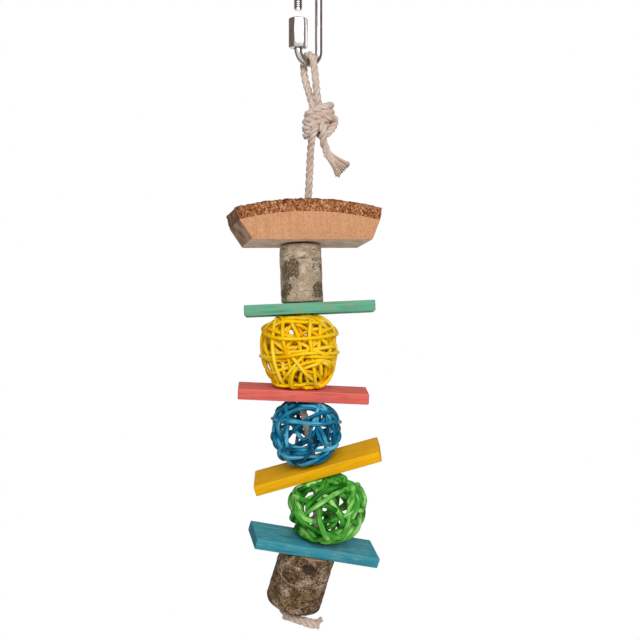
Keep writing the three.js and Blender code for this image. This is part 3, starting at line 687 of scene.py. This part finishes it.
def rope_route():
    """Where the rope runs from the loop knot down through every piece to the stopper knot, in mm."""
    stops = ROPE_STOPS_IN_KNOT + [(0.6, 0, -128.3)]
    stops.append(tuple(place_of("slab") @ Vector((0, 0, 0.013)) / MM))
    for piece in THREADED:
        x, y = BALL_ROPE_OFFSETS.get(piece, (0, 0))
        stops.append(tuple(hole_of(piece) / MM + Vector((x, y, 0))))
    return stops + [on_log(0, 0, 10.3), on_log(0, 0, -20.6), on_log(0, 0, -25.1)]


def loop_route():
    """The loop over the link's low wire, from the knot up its left leg and down its right one, in mm."""
    bend = ROPE_D / 2 + WIRE_R + 0.4
    low = LINK_LOW_BEND_Z - LINK_HALF_WIDTH
    across = (math.sin(math.radians(LINK_YAW)), -math.cos(math.radians(LINK_YAW)))
    stops = [(4.6, 0.5, -92), (2.8, 0.6, -82.5), (0.2, 1.8, -73), (-2.4, 3.6, -63)]
    for step in range(9):
        angle = math.pi * (step / 8 - 0.5)
        side = bend * math.sin(angle)
        stops.append((across[0] * side, across[1] * side, low + bend * math.cos(angle)))
    return stops + [(4.4, -4.0, -63), (5.2, -2.6, -72), (6.4, -0.6, -81), (7.6, 0, -92)]


def in_knot(*stops):
    """Places in the loop knot, measured from its middle, in mm."""
    return [(KNOT_X + x, y, KNOT_Z + z) for x, y, z in stops]


def make_rope():
    fibre = twisted_rope()
    run = smooth_line(rope_route())
    rope = hang(lay_rope("main_rope", run), None, "rope", fibre, "rope_run")
    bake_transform(rope)
    loop = smooth_line(loop_route())
    hang(lay_rope("link_loop", loop), "loop", "rope", fibre, "rope_loop")
    # The loop knot: about four turns, 4.5 mm apart and fullest in the middle, with one bight over them.
    wraps = []
    for step in range(2, 41):
        angle = math.tau * step / 10
        z = 4.5 * step / 10 - 9.3
        swell = 0.82 + 0.18 * math.sin(math.pi * step / 41)
        x = -8.3 * swell * math.sin(angle)
        wraps.append((x + 0.12 * z, 6.6 * swell * math.cos(angle), z + 0.26 * x))
    hang(lay_rope("loop_knot", smooth_line(in_knot(*wraps), 5), 5, 0.31), "loop", "rope", fibre, "top_knot")
    bight = in_knot((4, -5.4, 1), (7.6, -6.6, 0.8), (10.4, -3.4, 0.4), (10.8, 0, -1.6), (10, -3.2, -4.6),
                    (8.2, -5.8, -7.6), (5.4, -5.6, -10), (2.6, -2, -10.4), (0.5, 2, -9))
    hang(lay_rope("loop_knot_bight", smooth_line(bight, 6), 4.8, 0.31), "loop", "rope", fibre)
    tail = in_knot((2.4, -3.6, -1), (3.2, -7.4, -4.4), (3.4, -9.4, -7.4), (3.4, -8, -10.6)) + [
        (9.3, -6.2, -104.6), (10.8, -3.8, -109.6), (13.2, -2.6, -114.6), (16.6, -2.6, -119)]
    hang(lay_rope("top_tail_rope", smooth_line(tail), 5.4), "loop", "rope", fibre, "top_tail")
    tuft = fray_end("top_tail_end", (13.8, -2.6, -115.4), (22.8, -2.8, -124.4),
                    narrow=2.5, wide=5.8, count=190, seed=11)
    hang(tuft, "loop", "rope", fibre)
    # The stopper knot: about one turn and a half under the lower log, and the tail that lies along it.
    turns = []
    for step in range(15):
        angle = math.radians(20 - 36 * step)
        turns.append(on_log(4.7 * math.cos(angle), 4.7 * math.sin(angle), -25 - 0.26 * step))
    knot = [on_log(0, 0, -21.1), on_log(3, 0.5, -22.7)] + turns
    hang(lay_rope("stopper_knot", smooth_line(knot, 6), plump=0.3), "rope", "rope", fibre, "bottom_knot")
    low_tail = smooth_line([(-13.8, 8.6, -413.6), (-12, 4.8, -415), (-7.4, 2.4, -416.2), (-2.4, 1.8, -418),
                            (2.6, 2, -419.4), (7, 2.4, -419.8)])
    hang(lay_rope("low_tail_rope", low_tail, 6.2, 0.26), "rope", "rope", fibre, "bottom_tail")
    tuft = fray_end("low_tail_end", (5.8, 2, -418.4), (8.4, 2, -416.4),
                    narrow=1.8, wide=1.5, count=40, seed=13)
    hang(tuft, "rope", "rope", fibre)
    bare = run[46:62]
    hang(stray_fibres("rope_hairs", bare, 40, seed=3), "rope", "rope", fibre)
    hang(stray_fibres("loop_hairs", loop, 60, seed=5), "loop", "rope", fibre)
    hairs = stray_fibres("low_tail_hairs", low_tail, 110, seed=7, longest=3.4, radius=3)
    hang(hairs, "rope", "rope", fibre)


def fray_end(name, start, end, narrow, wide, count, seed):
    """A rope's cut end, opened into yarns that fan out from one place to another, in mm."""
    rng = np.random.default_rng(seed)
    start, end = np.array(start), np.array(end)
    way = end - start
    across = np.cross(way, (0, 1, 0)) / np.linalg.norm(way)
    yarns = []
    for _ in range(count):
        spread, deep = rng.uniform(-1, 1), rng.uniform(-0.6, 0.6)
        side = across * spread + np.array((0, deep, 0))
        first = start + side * narrow
        last = end + side * wide + rng.normal(size=3) * 0.45
        bow = across * rng.uniform(-0.5, 0.5)
        middle = first * 0.5 + last * 0.5 - side * 0.6 + bow
        yarns.append(smooth_line([first - way * 0.25, first, middle, last], 3))
    thin = [np.linspace(1, 0.7, len(yarn)) for yarn in yarns]
    tuft = to_mesh(guide_curve(name, yarns, thin, thick=0.00038, round_steps=1))
    smooth(tuft, 60)
    return tuft


# Quick link


def in_link(x, z):
    """A place in the plane of the link, given in mm, in metres."""
    yaw = math.radians(LINK_YAW)
    return (x * math.cos(yaw) * MM, x * math.sin(yaw) * MM, z * MM)


def make_link():
    steel = plated_steel("plated_steel_bright", "#B4AEAB", "#D2CCC9")
    line = [in_link(-LINK_HALF_WIDTH, THREAD_END_Z), in_link(-LINK_HALF_WIDTH, -14)]
    for start, bend_z in ((1, LINK_TOP_BEND_Z), (0, LINK_LOW_BEND_Z)):
        for step in range(33):
            angle = math.pi * (start - step / 32)
            x, z = LINK_HALF_WIDTH * math.cos(angle), LINK_HALF_WIDTH * math.sin(angle)
            line.append(in_link(x, bend_z + z))
    line.append(in_link(-LINK_HALF_WIDTH, NUT_LOW_Z + 14))
    wire = to_mesh(guide_curve("link_wire", [np.array(line)], thick=WIRE_R * MM, round_steps=8))
    smooth(wire, 50)
    # The upper side ends in a blunt cone.
    tip = Vector(in_link(-LINK_HALF_WIDTH, THREAD_END_Z))
    pick(wire, "FACE", lambda face: len(face.verts) > 6 and (face.calc_center_median() - tip).length < 0.001)
    bpy.ops.mesh.inset(thickness=0.0007)
    bpy.ops.transform.translate(value=(0, 0, -0.0006))
    done()
    deselect()
    bpy.ops.mesh.primitive_circle_add(vertices=3, radius=0.0005)
    thread = added("link_thread")
    corners = ((2.3, -0.55), (2.95, 0), (2.3, 0.55))
    for vertex, (x, z) in zip(thread.data.vertices, corners):
        vertex.co = (x * MM, 0, z * MM)
    screw_up(thread, THREAD_PITCH, turns=8, steps=32)
    close_ends(thread)
    smooth(thread, 35)
    settle(thread, Matrix.Translation(Vector(in_link(-LINK_HALF_WIDTH, THREAD_END_Z + 0.7))))
    hang(wire, "link", "steel", steel, "link_body")
    hang(thread, "link", "steel", plated_steel("plated_steel_cut_thread", "#756C69", "#978E8B"))
    hang(make_nut(), "nut", "steel", steel, "link_nut")


def make_nut():
    """The long hexagon nut: chamfered ends, softened corners, bored through."""
    corner = NUT_ACROSS_FLATS / math.sqrt(3)
    nut = add_rod("gate_nut", 6, corner, NUT_LENGTH, rotation=(0, 0, math.radians(NUT_TURN)))
    bpy.ops.object.transform_apply(location=False, rotation=True, scale=False)
    soften(nut, 0.7, 3)
    lathe = add_rod("lathe", 72, corner * 0.985, NUT_LENGTH * 0.999)
    soften(lathe, 1.3, 4)
    cut(nut, lathe, "INTERSECT")
    drill(nut, radius=NUT_BORE_R)
    smooth(nut, 25)
    settle(nut, Matrix.Translation(Vector(in_link(-LINK_HALF_WIDTH, NUT_LOW_Z + NUT_LENGTH / 2))))
    return nut


# Slab


def flared_box(name, middle, low_length, top_length, height, top_shift=0):
    """A box as deep as the slab, longer at its top than at its underside, in mm."""
    box = add_box(name, (low_length, SLAB_DEPTH, height), middle)
    pick(box, "FACE", lambda face: face.normal.z > 0.9)
    bpy.ops.transform.resize(value=(top_length / low_length, 1, 1))
    bpy.ops.transform.translate(value=(top_shift * MM, 0, 0))
    done()
    return box


def trunk(radius):
    """A round of the trunk, of that radius in mm, to cut the slab with."""
    return add_rod("trunk", 360, radius, 100, location=TRUNK_MIDDLE, rotation=(math.pi / 2, 0, 0))


def make_slab():
    wood = flared_box("slab_sawn_wood", (-0.4, 0, SLAB_HEIGHT / 2), SLAB_LOW_LENGTH, SLAB_TOP_LENGTH,
                      SLAB_HEIGHT, SLAB_TOP_SHIFT)
    cut(wood, trunk(SLAB_ROUND_R), "INTERSECT")
    soften(wood, 0.5, 2)
    drill(wood)
    smooth(wood, 30)
    settle(wood, place_of("slab"))
    hang(wood, "slab", "slab_wood", sawn_pine(), "slab_wood")
    bark = flared_box("slab_rough_bark", (-1.6, 0, 21), BARK_LOW_LENGTH, BARK_TOP_LENGTH, BARK_HEIGHT)
    cut(bark, trunk(BARK_OUTER_R), "INTERSECT")
    cut(bark, trunk(BARK_INNER_R))
    drill(bark, radius=HOLE_R + 0.6)
    finish_with(bark, "REMESH", mode="VOXEL", voxel_size=0.0006, use_smooth_shade=True)
    # The deep roughness grows towards the outer face, and a fine one covers all faces.
    outer = bark.vertex_groups.new(name="outer")
    for vertex in bark.data.vertices:
        height = math.hypot(vertex.co.x - TRUNK_MIDDLE[0], vertex.co.z - TRUNK_MIDDLE[2])
        outer.add([vertex.index], min(1, max(0, (height - 0.194) / 0.004)), "REPLACE")
    roughen(bark, "VORONOI", 9, 2.8, 0.35, "outer", weight_1=-1, weight_2=1)
    roughen(bark, "CLOUDS", 5, 2.6, 0.5, "outer", noise_depth=3)
    roughen(bark, "CLOUDS", 1.6, 0.6, 0.6)
    smooth(bark, 60)
    settle(bark, place_of("slab"))
    hang(bark, "slab", "slab_bark", pine_bark(), "slab_bark")


# Logs


def bark_tube(name, radius, height, top_round, low_round):
    """A branch's bark as a tube whose rims are worn round, before it is roughened."""
    bark = add_rod(name, 150, radius, height, end_fill_type="NOTHING")
    pick(bark, "EDGE", lambda edge: abs(edge.verts[0].co.z - edge.verts[1].co.z) > 0.001)
    bpy.ops.mesh.subdivide(number_cuts=54)
    done()
    for vertex in bark.data.vertices:
        for past, worn in ((vertex.co.z / MM + top_round - height / 2, top_round),
                           (-vertex.co.z / MM + low_round - height / 2, low_round)):
            if past > 0:
                inwards = 1 - worn * (1 - math.sqrt(max(0, 1 - (past / worn) ** 2))) / radius
                vertex.co.x *= inwards
                vertex.co.y *= inwards
    return bark


def make_upper_log():
    bark = bark_tube("upper_log_skin", UPPER_LOG_R, UPPER_LOG_HEIGHT, top_round=1, low_round=1)
    roughen(bark, "CLOUDS", 14, 1.0, 0.4)
    roughen(bark, "CLOUDS", 2.4, 0.35, 0.5, noise_depth=3)
    finish_with(bark, "SOLIDIFY", thickness=0.0015, offset=-1)
    smooth(bark, 60)
    settle(bark, place_of("upper_log"))
    hang(bark, "upper_log", "upper_bark", grey_bark(), "upper_log_bark")
    frame["nodes"]["upper_log_wood"].data.materials[0] = branch_wood("upper_log")


def make_lower_log():
    bark = bark_tube("lower_log_skin", LOWER_LOG_R, LOWER_LOG_HEIGHT, top_round=1.2, low_round=4.5)
    # A pale ridge runs across the front, and a raised ring lies round the hollow of the branch scar.
    ridge = smooth_line([(-16.8, -6.4, 7.4), (-13.4, -12, 4), (-7.6, -16.4, 1.4), (-1.6, -18, 1.6),
                         (4, -17.6, 5), (9, -15.6, 5.6), (14, -11.4, 3)], 8)
    crest = []
    for vertex in bark.data.vertices:
        x, y, z = (np.array(vertex.co) / MM - BRANCH_SCAR) * (0.75, 0.75, 1.1)
        away = math.hypot(x, y, z) + 0.6 * math.sin(2.1 * x + 1.3 * z)
        off_ridge = np.linalg.norm(ridge - np.array(vertex.co), axis=1).min() / MM
        crest.append(max(0.8 * math.exp(-((away - 4.4) / 0.7) ** 2), math.exp(-((off_ridge / 0.9) ** 2))))
        rise = 0.6 * crest[-1] - 0.9 * math.exp(-((away / 2.6) ** 2))
        vertex.co.x *= 1 + rise / LOWER_LOG_R
        vertex.co.y *= 1 + rise / LOWER_LOG_R
    bark.data.attributes.new("crest", "FLOAT", "POINT").data.foreach_set("value", crest)
    roughen(bark, "CLOUDS", 15, 1.2, 0.4)
    roughen(bark, "CLOUDS", 5, 0.9, 0.5, noise_depth=3)
    roughen(bark, "CLOUDS", 1.6, 0.4, 0.5, noise_depth=3)
    finish_with(bark, "SOLIDIFY", thickness=0.002, offset=-1)
    smooth(bark, 60)
    settle(bark, place_of("lower_log"))
    hang(bark, "lower_log", "lower_bark", brown_bark(), "lower_log_bark")
    wood = add_rod("lower_log_heart", 96, LOWER_LOG_R - 2.8, LOWER_LOG_HEIGHT - 0.4)
    pick(wood, "EDGE", lambda edge: max(v.co.z for v in edge.verts) < -0.02)
    bpy.ops.mesh.bevel(offset=0.0036, segments=5)
    done()
    drill(wood)
    smooth(wood, 30)
    settle(wood, place_of("lower_log"))
    hang(wood, "lower_log", "log_wood", branch_wood("lower_log"), "lower_log_wood")


# Slats

# Each slat's stain where it is dark, usual, pale and worn off, and its slot.
SLAT_STAINS = {
    "green_slat": ("#3F8A70", "#68B192", "#93C9AC", "#A39C68", "green_paint"),
    "red_slat": ("#CC584D", "#E66C61", "#F0958A", "#BE574C", "red_paint"),
    "yellow_slat": ("#DE9C00", "#F8B600", "#FBCB3C", "#E6A40A", "yellow_paint"),
    "blue_slat": ("#226F87", "#3A95A7", "#66B0B9", "#7CAEB0", "blue_paint"),
}


def make_slats():
    blank = add_box("slat_blank", (SLAT_LENGTH, SLAT_WIDTH, SLAT_THICK))
    soften(blank, 0.7, 3)
    for name, (dark, main, pale, bare, slot) in SLAT_STAINS.items():
        slat = blank.copy()
        slat.data = blank.data.copy()
        slat.name = slat.data.name = name + "_stained"
        scene.collection.objects.link(slat)
        drill(slat, SLAT_HOLES[name])
        smooth(slat, 30)
        settle(slat, place_of(name))
        hang(slat, name, slot, stained_slat(name, dark, main, pale, bare), name)
    bpy.data.objects.remove(blank)


# Balls

# Each ball: half its width and its height above and below its middle, to the strands' middles; how thick a
# strand is; how square the ball is above and below; how many strands lie inside; the slats above and below;
# its dyes where they are dark, usual and pale, the dark and pale ones also standing in as painted shade and
# painted highlight; and its outer strands, each by three places where it crosses the front, in mm from the
# middle, and by how far it stands out of the ball if it does.
BALLS = {
    "yellow_ball": dict(
        wide=22.4, up=21.6, down=24.6, strand=2.25, square=(3, 2.4), inner=18,
        above="green_slat", below="red_slat",
        dyes=("#F5B000", "#FFD200", "#FFE04C"), slot="yellow_rattan",
        strands=[
            ((-8.8, 19.8), (-7.1, 1.9), (-4.9, -15.5)), ((-1.4, 21.5), (1.2, 3.2), (4.7, -20.7)),
            ((11.2, 17.2), (12.5, 1), (13.8, -15.5)), ((-17.6, -5), (-4, -4.6), (12.9, -3.6)),
            ((-17.6, -2.9), (-4, -2.4), (12.9, -1.4), 1.07), ((-17.6, -0.2), (-4, -0.2), (12.9, 1.2)),
            ((-20, 12), (2, 6.7), (20.6, 10.2), 1.06), ((-23.4, 13.4), (2, 22.2), (20.6, 12), 1.02),
            ((20.4, 12), (20.6, 0), (20.4, -12)), ((-14, 16), (3, 20), (15, 16)),
            ((-16, 12.6), (2, 17.4), (17, 12.6)), ((-19, 13), (-8.8, 10), (6, 3)),
            ((1.2, 15), (9.4, 9.8), (18, 2)), ((-4.5, -15.5), (2.9, -7.7), (14, -4.6)),
            ((-16.2, -12), (-8, -10.6), (6, -12.6)), ((-16.6, -15.4), (-4, -23.4), (16.3, -17.2)),
            ((14.2, -6.4), (18, -10.6), (17, -14.6)), ((19.4, 5.4), (18.6, 0), (17.3, -7.5)),
            ((-20.2, 7.2), (-18.5, -2), (-15.5, -12)), ((-12, 17), (-14, 4), (-11.5, -13)),
            ((5, 19), (7, 2), (9.5, -17)), ((-15, 8), (-2, -6), (8, -17)), ((-10, -17), (4, 0), (16, 12)),
            ((-23.2, -6), (0, -24.6), (23.2, -3)), ((-12, -19), (0, -21), (12, -20)),
        ]),
    "blue_ball": dict(
        wide=20.6, up=19.4, down=21.6, strand=2.5, square=(2.6, 2.3), inner=3,
        above="red_slat", below="yellow_slat",
        dyes=("#01304A", "#0A769D", "#6CC4E0"), slot="blue_rattan",
        strands=[
            ((-19.6, 8.6), (-13.5, 13.6), (-5.6, 18)), ((-0.5, 18.4), (10, 13.6), (19.4, 2.3)),
            ((-10.3, 14.9), (-11.5, 3.9), (-11.1, -7.9)), ((4.3, 3.5), (3.1, -6), (2.3, -18.2)),
            ((14.1, 7.8), (13.3, 0), (11, -4.4)), ((-9.9, 6.2), (0.3, 6), (12.5, 5.5)),
            ((4.3, -9.1), (12.2, -4.8), (20.8, 1.1)), ((7.4, -15.4), (15.6, -9.9), (21, -1.6)),
            ((-20.8, -3.6), (-10, -9.6), (2.3, -10.9)), ((-19, -8.3), (-13.4, -12.8), (-1.6, -16.2)),
            ((-18.8, 9), (-19.5, 1.9), (-17.4, -6.4)), ((20, 7.6), (21, 1.1), (19.4, -6)),
            ((-9.5, -15.6), (0.3, -19), (12.2, -14)), ((2.3, 8.2), (6.6, 10), (10.6, 11)),
            ((-16, -15), (-5.8, -22.2), (6, -20)), ((-15, 17), (-4, 20), (9, 18)),
        ]),
    "green_ball": dict(
        wide=22.2, up=20.8, down=20.6, strand=3.2, square=(2.2, 2.2), inner=2,
        above="yellow_slat", below="blue_slat",
        dyes=("#135A0C", "#46A632", "#ACE884"), slot="green_rattan",
        strands=[
            ((-19, 10.6), (-14, -5), (7.3, -16.6)), ((-2.6, 15.3), (4, 4.1), (9.4, -7.9)),
            ((-13.8, -3.4), (-0.1, 8.6), (16.7, 13.4)), ((-15.5, 7.4), (-3.4, 4.1), (4.4, 0.8)),
            ((-8.5, -5.5), (-1, -6.7), (6.1, -5.5)), ((16.4, 11.1), (14, 0.8), (10.2, -7.9)),
            ((20.2, 2.4), (19.6, -7.9), (14.8, -14.5)), ((-19.5, -8.8), (-11.3, -15.6), (-1, -17)),
            ((-22.6, 4.6), (-22.8, -0.9), (-20.7, -9.2)), ((17, 13), (21.9, 6.6), (21.7, 0.3)),
            ((-4.3, 13.2), (-5.5, 1.6), (-4.7, -4.6)), ((-15.5, -17.9), (-5.1, -22.4), (15.6, -17)),
            ((0.3, 13.7), (7.3, 14.9), (15, 14)), ((4, 21.5), (11.1, 20.3), (17.3, 16.5)),
        ]),
}
# How far each ball turns to either side, and the range that a wave's start is drawn from.
BALL_TURN = math.radians(30)
ANY_PHASE = (0, 6.28)


def rope_from(name):
    """The rope's line, in mm from the middle of a ball."""
    return (smooth_line(rope_route(), 6) - np.array(hole_of(name))) / MM


def rope_exits(name, ball):
    """Where the rope leaves a ball at its top and foot over the ball's turn, on a ball of radius 1."""
    rope = rope_from(name)
    axis = Vector(SPINS[name]["axis"])
    exits = []
    for high in (ball["up"], -ball["down"]):
        at = Vector(rope[np.abs(rope[:, 2] - 0.95 * high).argmin()])
        turns = [Matrix.Rotation(part * BALL_TURN, 3, axis) @ at for part in (-1, -0.5, 0, 0.5, 1)]
        exits.append(np.array(turns) / (ball["wide"], ball["wide"], abs(high)))
    return exits


def ring_through(ball, facts, exits, steps, rng):
    """A strand's whole way round the ball through three places on the front, in mm from the ball's middle."""
    places = []
    for x, z in facts[:3]:
        u = np.array((x / ball["wide"], 0.0, z / (ball["up"] if z > 0 else ball["down"])))
        flat = math.hypot(u[0], u[2])
        u = u / flat if flat > 1 else u - (0, math.sqrt(1 - flat**2), 0)
        places.append(u)
    a, b, c = places
    normal = np.cross(b - a, c - a)
    normal /= np.linalg.norm(normal)
    offset = normal @ a
    first = a - normal * offset
    first /= np.linalg.norm(first)
    second = np.cross(normal, first)
    t = np.linspace(0, math.tau, steps, endpoint=False)[:, None]
    wander = sum(rng.uniform(0.01, 0.03) * np.sin(k * t + rng.uniform(*ANY_PHASE)) for k in (2, 3, 5))
    u = normal * (offset + wander) + math.sqrt(1 - offset**2) * (first * np.cos(t) + second * np.sin(t))
    # A strand that would cross the rope's way out goes round it on the nearer side.
    room = (ROPE_D / 2 + 0.6 * ball["strand"]) / ball["wide"] + 0.05
    for way_out in exits:
        low, high = (way_out @ normal).min() - room, (way_out @ normal).max() + room
        if low < offset < high:
            aside = (high if high - offset < offset - low else low) - offset
            near = np.clip((u[:, 2:] * np.sign(way_out[0, 2]) - 0.4) / 0.4, 0, 1)
            u += normal * aside * near**2 * (3 - 2 * near)
    # The round ball becomes a squarer one.
    power = np.where(u[:, 2:] > 0, *ball["square"])
    u /= (np.abs(u) ** power).sum(axis=1, keepdims=True) ** (1 / power)
    u *= rng.uniform(0.98, 1.02) * (facts[3] if len(facts) > 3 else 1)
    high = np.where(u[:, 2] > 0, ball["up"], ball["down"])
    return u * np.column_stack([np.full(steps, ball["wide"]), np.full(steps, ball["wide"]), high])


def keep_clear(name, ball, now, rope):
    """Moves strands off both slats and off the rope, as far as the ball's turn brings them near."""
    room = 0.56 * ball["strand"] + 0.2
    axis = np.array(SPINS[name]["axis"], float)
    for angle in (-1, -0.5, 0.5, 1, 0):
        turn = np.array(Matrix.Rotation(angle * BALL_TURN, 3, Vector(axis)))
        there = now @ turn.T
        for slat, side in ((ball["above"], 1), (ball["below"], -1)):
            normal = np.array(SPINS[slat]["axis"]) * side
            limit = np.array(hole_of(slat) - hole_of(name)) / MM @ normal - SLAT_THICK / 2 - room
            there -= np.maximum(there @ normal - limit, 0)[:, None] * normal
        now = there @ turn
    # Seen along the ball's axis, the rope sweeps an arc round it as the ball turns.
    right = np.cross((0, 1, 0), axis)
    right /= np.linalg.norm(right)
    flat = np.column_stack([right, np.cross(axis, right)])
    level = now @ axis
    heights = (rope @ axis)[::-1]
    line = np.column_stack([np.interp(level, heights, across[::-1]) for across in (rope @ flat).T])
    start = np.arctan2(line[:, 1], line[:, 0])
    spread = now @ flat
    turn = (np.arctan2(spread[:, 1], spread[:, 0]) - start + math.pi) % math.tau - math.pi
    at = start + np.clip(turn, -BALL_TURN, BALL_TURN)
    away = spread - np.hypot(*line.T)[:, None] * np.column_stack([np.cos(at), np.sin(at)])
    gap = np.maximum(np.linalg.norm(away, axis=1), 1e-6)
    short = np.maximum(1.15 * (ROPE_D / 2 + room) - gap, 0)
    return now + (away * (short / gap)[:, None]) @ flat.T


def part_strands(name, ball, rings, rng):
    """Lets strands that cross push each other in and out until they pass over and under."""
    count, steps, _ = rings.shape
    base = rings.reshape(-1, 3)
    out = base / np.linalg.norm(base, axis=1, keepdims=True)
    which = np.repeat(np.arange(count), steps)
    other = which[:, None] != which[None, :]
    thick = ball["strand"]
    t = np.linspace(0, math.tau, steps, endpoint=False)
    waves = [np.sin(rng.integers(3, 6) * t + rng.uniform(*ANY_PHASE)) for _ in range(count)]
    shift = (0.3 * thick * np.array(waves)).ravel()
    rope = rope_from(name)
    rope = rope[np.abs(rope[:, 2]) < 40]
    # In each round strands that overlap push apart by 0.35 mm at most, and then each is evened along itself.
    for step in range(90):
        now = base + out * shift[:, None]
        square = (now**2).sum(axis=1)
        gap = np.sqrt(np.maximum(square[:, None] + square[None, :] - 2 * now @ now.T, 1e-9))
        press = np.where(other, np.maximum(thick - gap, 0), 0)
        depth = np.sqrt(square)
        sign = np.sign(depth[:, None] - depth[None, :])
        shift = shift + np.clip((press * sign).sum(axis=1) * 0.22, -0.35, 0.35)
        rows = shift.reshape(count, steps)
        rows = 0.6 * rows + 0.2 * (np.roll(rows, 1, axis=1) + np.roll(rows, -1, axis=1))
        shift = np.clip(rows.ravel() * 0.995, -1.5 * thick, 0.7 * thick)
        if step % 5 == 4:
            now = base + out * shift[:, None]
            moved = keep_clear(name, ball, now, rope) - now
            inward = (moved * out).sum(axis=1)
            shift = shift + inward
            base = base + moved - out * inward[:, None]
    now = (base + out * shift[:, None]).reshape(count, steps, 3)
    for soft in (0.25, 0.25, 0.1, 0, 0):
        now = (1 - 2 * soft) * now + soft * (np.roll(now, 1, axis=1) + np.roll(now, -1, axis=1))
        now = keep_clear(name, ball, now.reshape(-1, 3), rope).reshape(count, steps, 3)
    return now


def make_ball(name, ball):
    rng = np.random.default_rng(len(name) * 7 + len(ball["strands"]))
    steps = 72
    # The strands inside are rings about 0.8 times as big as the ball, tilted at random.
    inside = []
    for _ in range(ball["inner"]):
        a, b = rng.uniform(0, math.tau), rng.uniform(2.6, 3.7)
        ends = [(18 * math.cos(angle), 18 * math.sin(angle)) for angle in (a, a + b)]
        inside.append((ends[0], tuple(rng.uniform(-11, 11, 2)), ends[1], rng.uniform(0.74, 0.86)))
    rings = []
    exits = rope_exits(name, ball)
    for strands in (ball["strands"], inside):
        hoops = np.array([ring_through(ball, facts, exits, steps, rng) for facts in strands])
        rings.extend(part_strands(name, ball, hoops, rng))
    middle = np.array(hole_of(name)) / MM
    lines, radii = [], []
    t = np.linspace(0, math.tau, steps * 2, endpoint=False)
    for ring in rings:
        before, after, beyond = (np.roll(ring, by, axis=0) for by in (1, -1, -2))
        between = (9 * (ring + after) - before - beyond) / 16
        lines.append((np.stack([ring, between], axis=1).reshape(-1, 3) + middle) * MM)
        slow, quick = rng.uniform(*ANY_PHASE), rng.uniform(*ANY_PHASE)
        radii.append(1 + 0.07 * np.sin(2 * t + slow) + 0.05 * np.sin(7 * t + quick))
    half = ball["strand"] / 2 * MM
    winding = to_mesh(guide_curve(name + "_winding", lines, radii, closed=True, thick=half, round_steps=3))
    # Where each place is on its own strand, for the streaks to follow; strands are 40 mm apart in the pattern.
    count = len(winding.data.vertices)
    sides = count // (len(lines) * steps * 2)
    number = np.arange(count)
    around = number % sides * math.tau / sides
    ring_number = number // (sides * steps * 2)
    along = number // sides % (steps * 2) * math.tau * ball["wide"] / (steps * 2) * MM
    strand = np.column_stack([half * np.cos(around) + ring_number * 0.04, half * np.sin(around), along])
    winding.data.attributes.new("strand", "FLOAT_VECTOR", "POINT").data.foreach_set("vector", strand.ravel())
    smooth(winding, 60)
    hang(winding, name, ball["slot"], dyed_rattan(name, *ball["dyes"]), name)


# Studio


def seen_as_white(add):
    """1 for what the camera sees, straight or in a reflection or glass, and 0 for light on the toy."""
    ray = add("LightPath").outputs
    seen = add("Math", [ray["Is Camera Ray"], ray["Is Glossy Ray"]], operation="MAXIMUM")
    return add("Math", [seen, ray["Is Transmission Ray"]], operation="MAXIMUM")


def set_studio():
    world = bpy.data.worlds.new("studio")
    scene.world = world
    world.use_nodes = True
    world.node_tree.nodes.clear()
    add = functools.partial(add_node, world.node_tree)
    fill = add("Background", {"Color": (1, 1, 1, 1), "Strength": 0.31})
    white = add("Background", {"Color": (1, 1, 1, 1), "Strength": 1.0})
    both = add("MixShader", [seen_as_white(add), fill, white])
    add("OutputWorld", [both])
    lamp = bpy.data.lights.new("front_softbox", "AREA")
    lamp.shape = "RECTANGLE"
    lamp.size = 1.3
    lamp.size_y = 0.8
    lamp.energy = 18.4
    softbox = bpy.data.objects.new("front_softbox", lamp)
    aim = Vector((0.0, 0.0, -0.22))
    softbox.location = aim + Vector((0.25, -1.45, 0.62))
    softbox.rotation_euler = (aim - softbox.location).to_track_quat("-Z", "Y").to_euler()
    scene.collection.objects.link(softbox)
    # Grey felt flags at both sides, which only show as darker bands in the steel.
    felt, add = new_material("grey_felt")
    weave = add("TexNoise", {"Scale": 900})
    grey = add("ValToRGB", [weave], [(0.3, "#A3938E"), (0.7, "#C2B2AD")])
    add("Principled BSDF", {"Base Color": grey, "Roughness": 1, "Specular IOR Level": 0})
    for side, middle, width in ((-0.45, 0.06, 0.62), (0.5, -0.1, 0.94)):
        deselect()
        bpy.ops.mesh.primitive_plane_add(size=1, location=(side, middle, -0.1), rotation=(0, math.pi / 2, 0))
        flag = added("grey_flag")
        flag.scale = (1.1, width, 1)
        flag.data.materials.append(felt)
        flag.visible_camera = flag.visible_diffuse = flag.visible_shadow = flag.visible_transmission = False
    # The paper floor fades into the white background between 0.5 and 1 m from its middle.
    deselect()
    bpy.ops.mesh.primitive_plane_add(size=6, location=(0, 0, -0.8))
    floor = added("floor")
    material, add = new_material("white_paper_floor")
    here = add("TexCoord").outputs["Object"]
    far = add("VectorMath", [here], operation="LENGTH")
    fade = add("MapRange", [far, 0.5, 1.0])
    shown = add("Math", [fade, seen_as_white(add)], operation="MULTIPLY")
    glow = add("Emission", {"Color": (1, 1, 1, 1), "Strength": 1.0})
    paper = add("Principled BSDF", {"Base Color": "#F6F6F4", "Roughness": 0.9})
    both = add("MixShader", [shown, paper, glow])
    add("Material Output", [both])
    floor.data.materials.append(material)


scene.view_settings.view_transform = "Standard"
set_camera()
make_rope()
make_link()
make_slab()
make_upper_log()
make_lower_log()
make_slats()
for ball_name, ball_facts in BALLS.items():
    make_ball(ball_name, ball_facts)
set_studio()
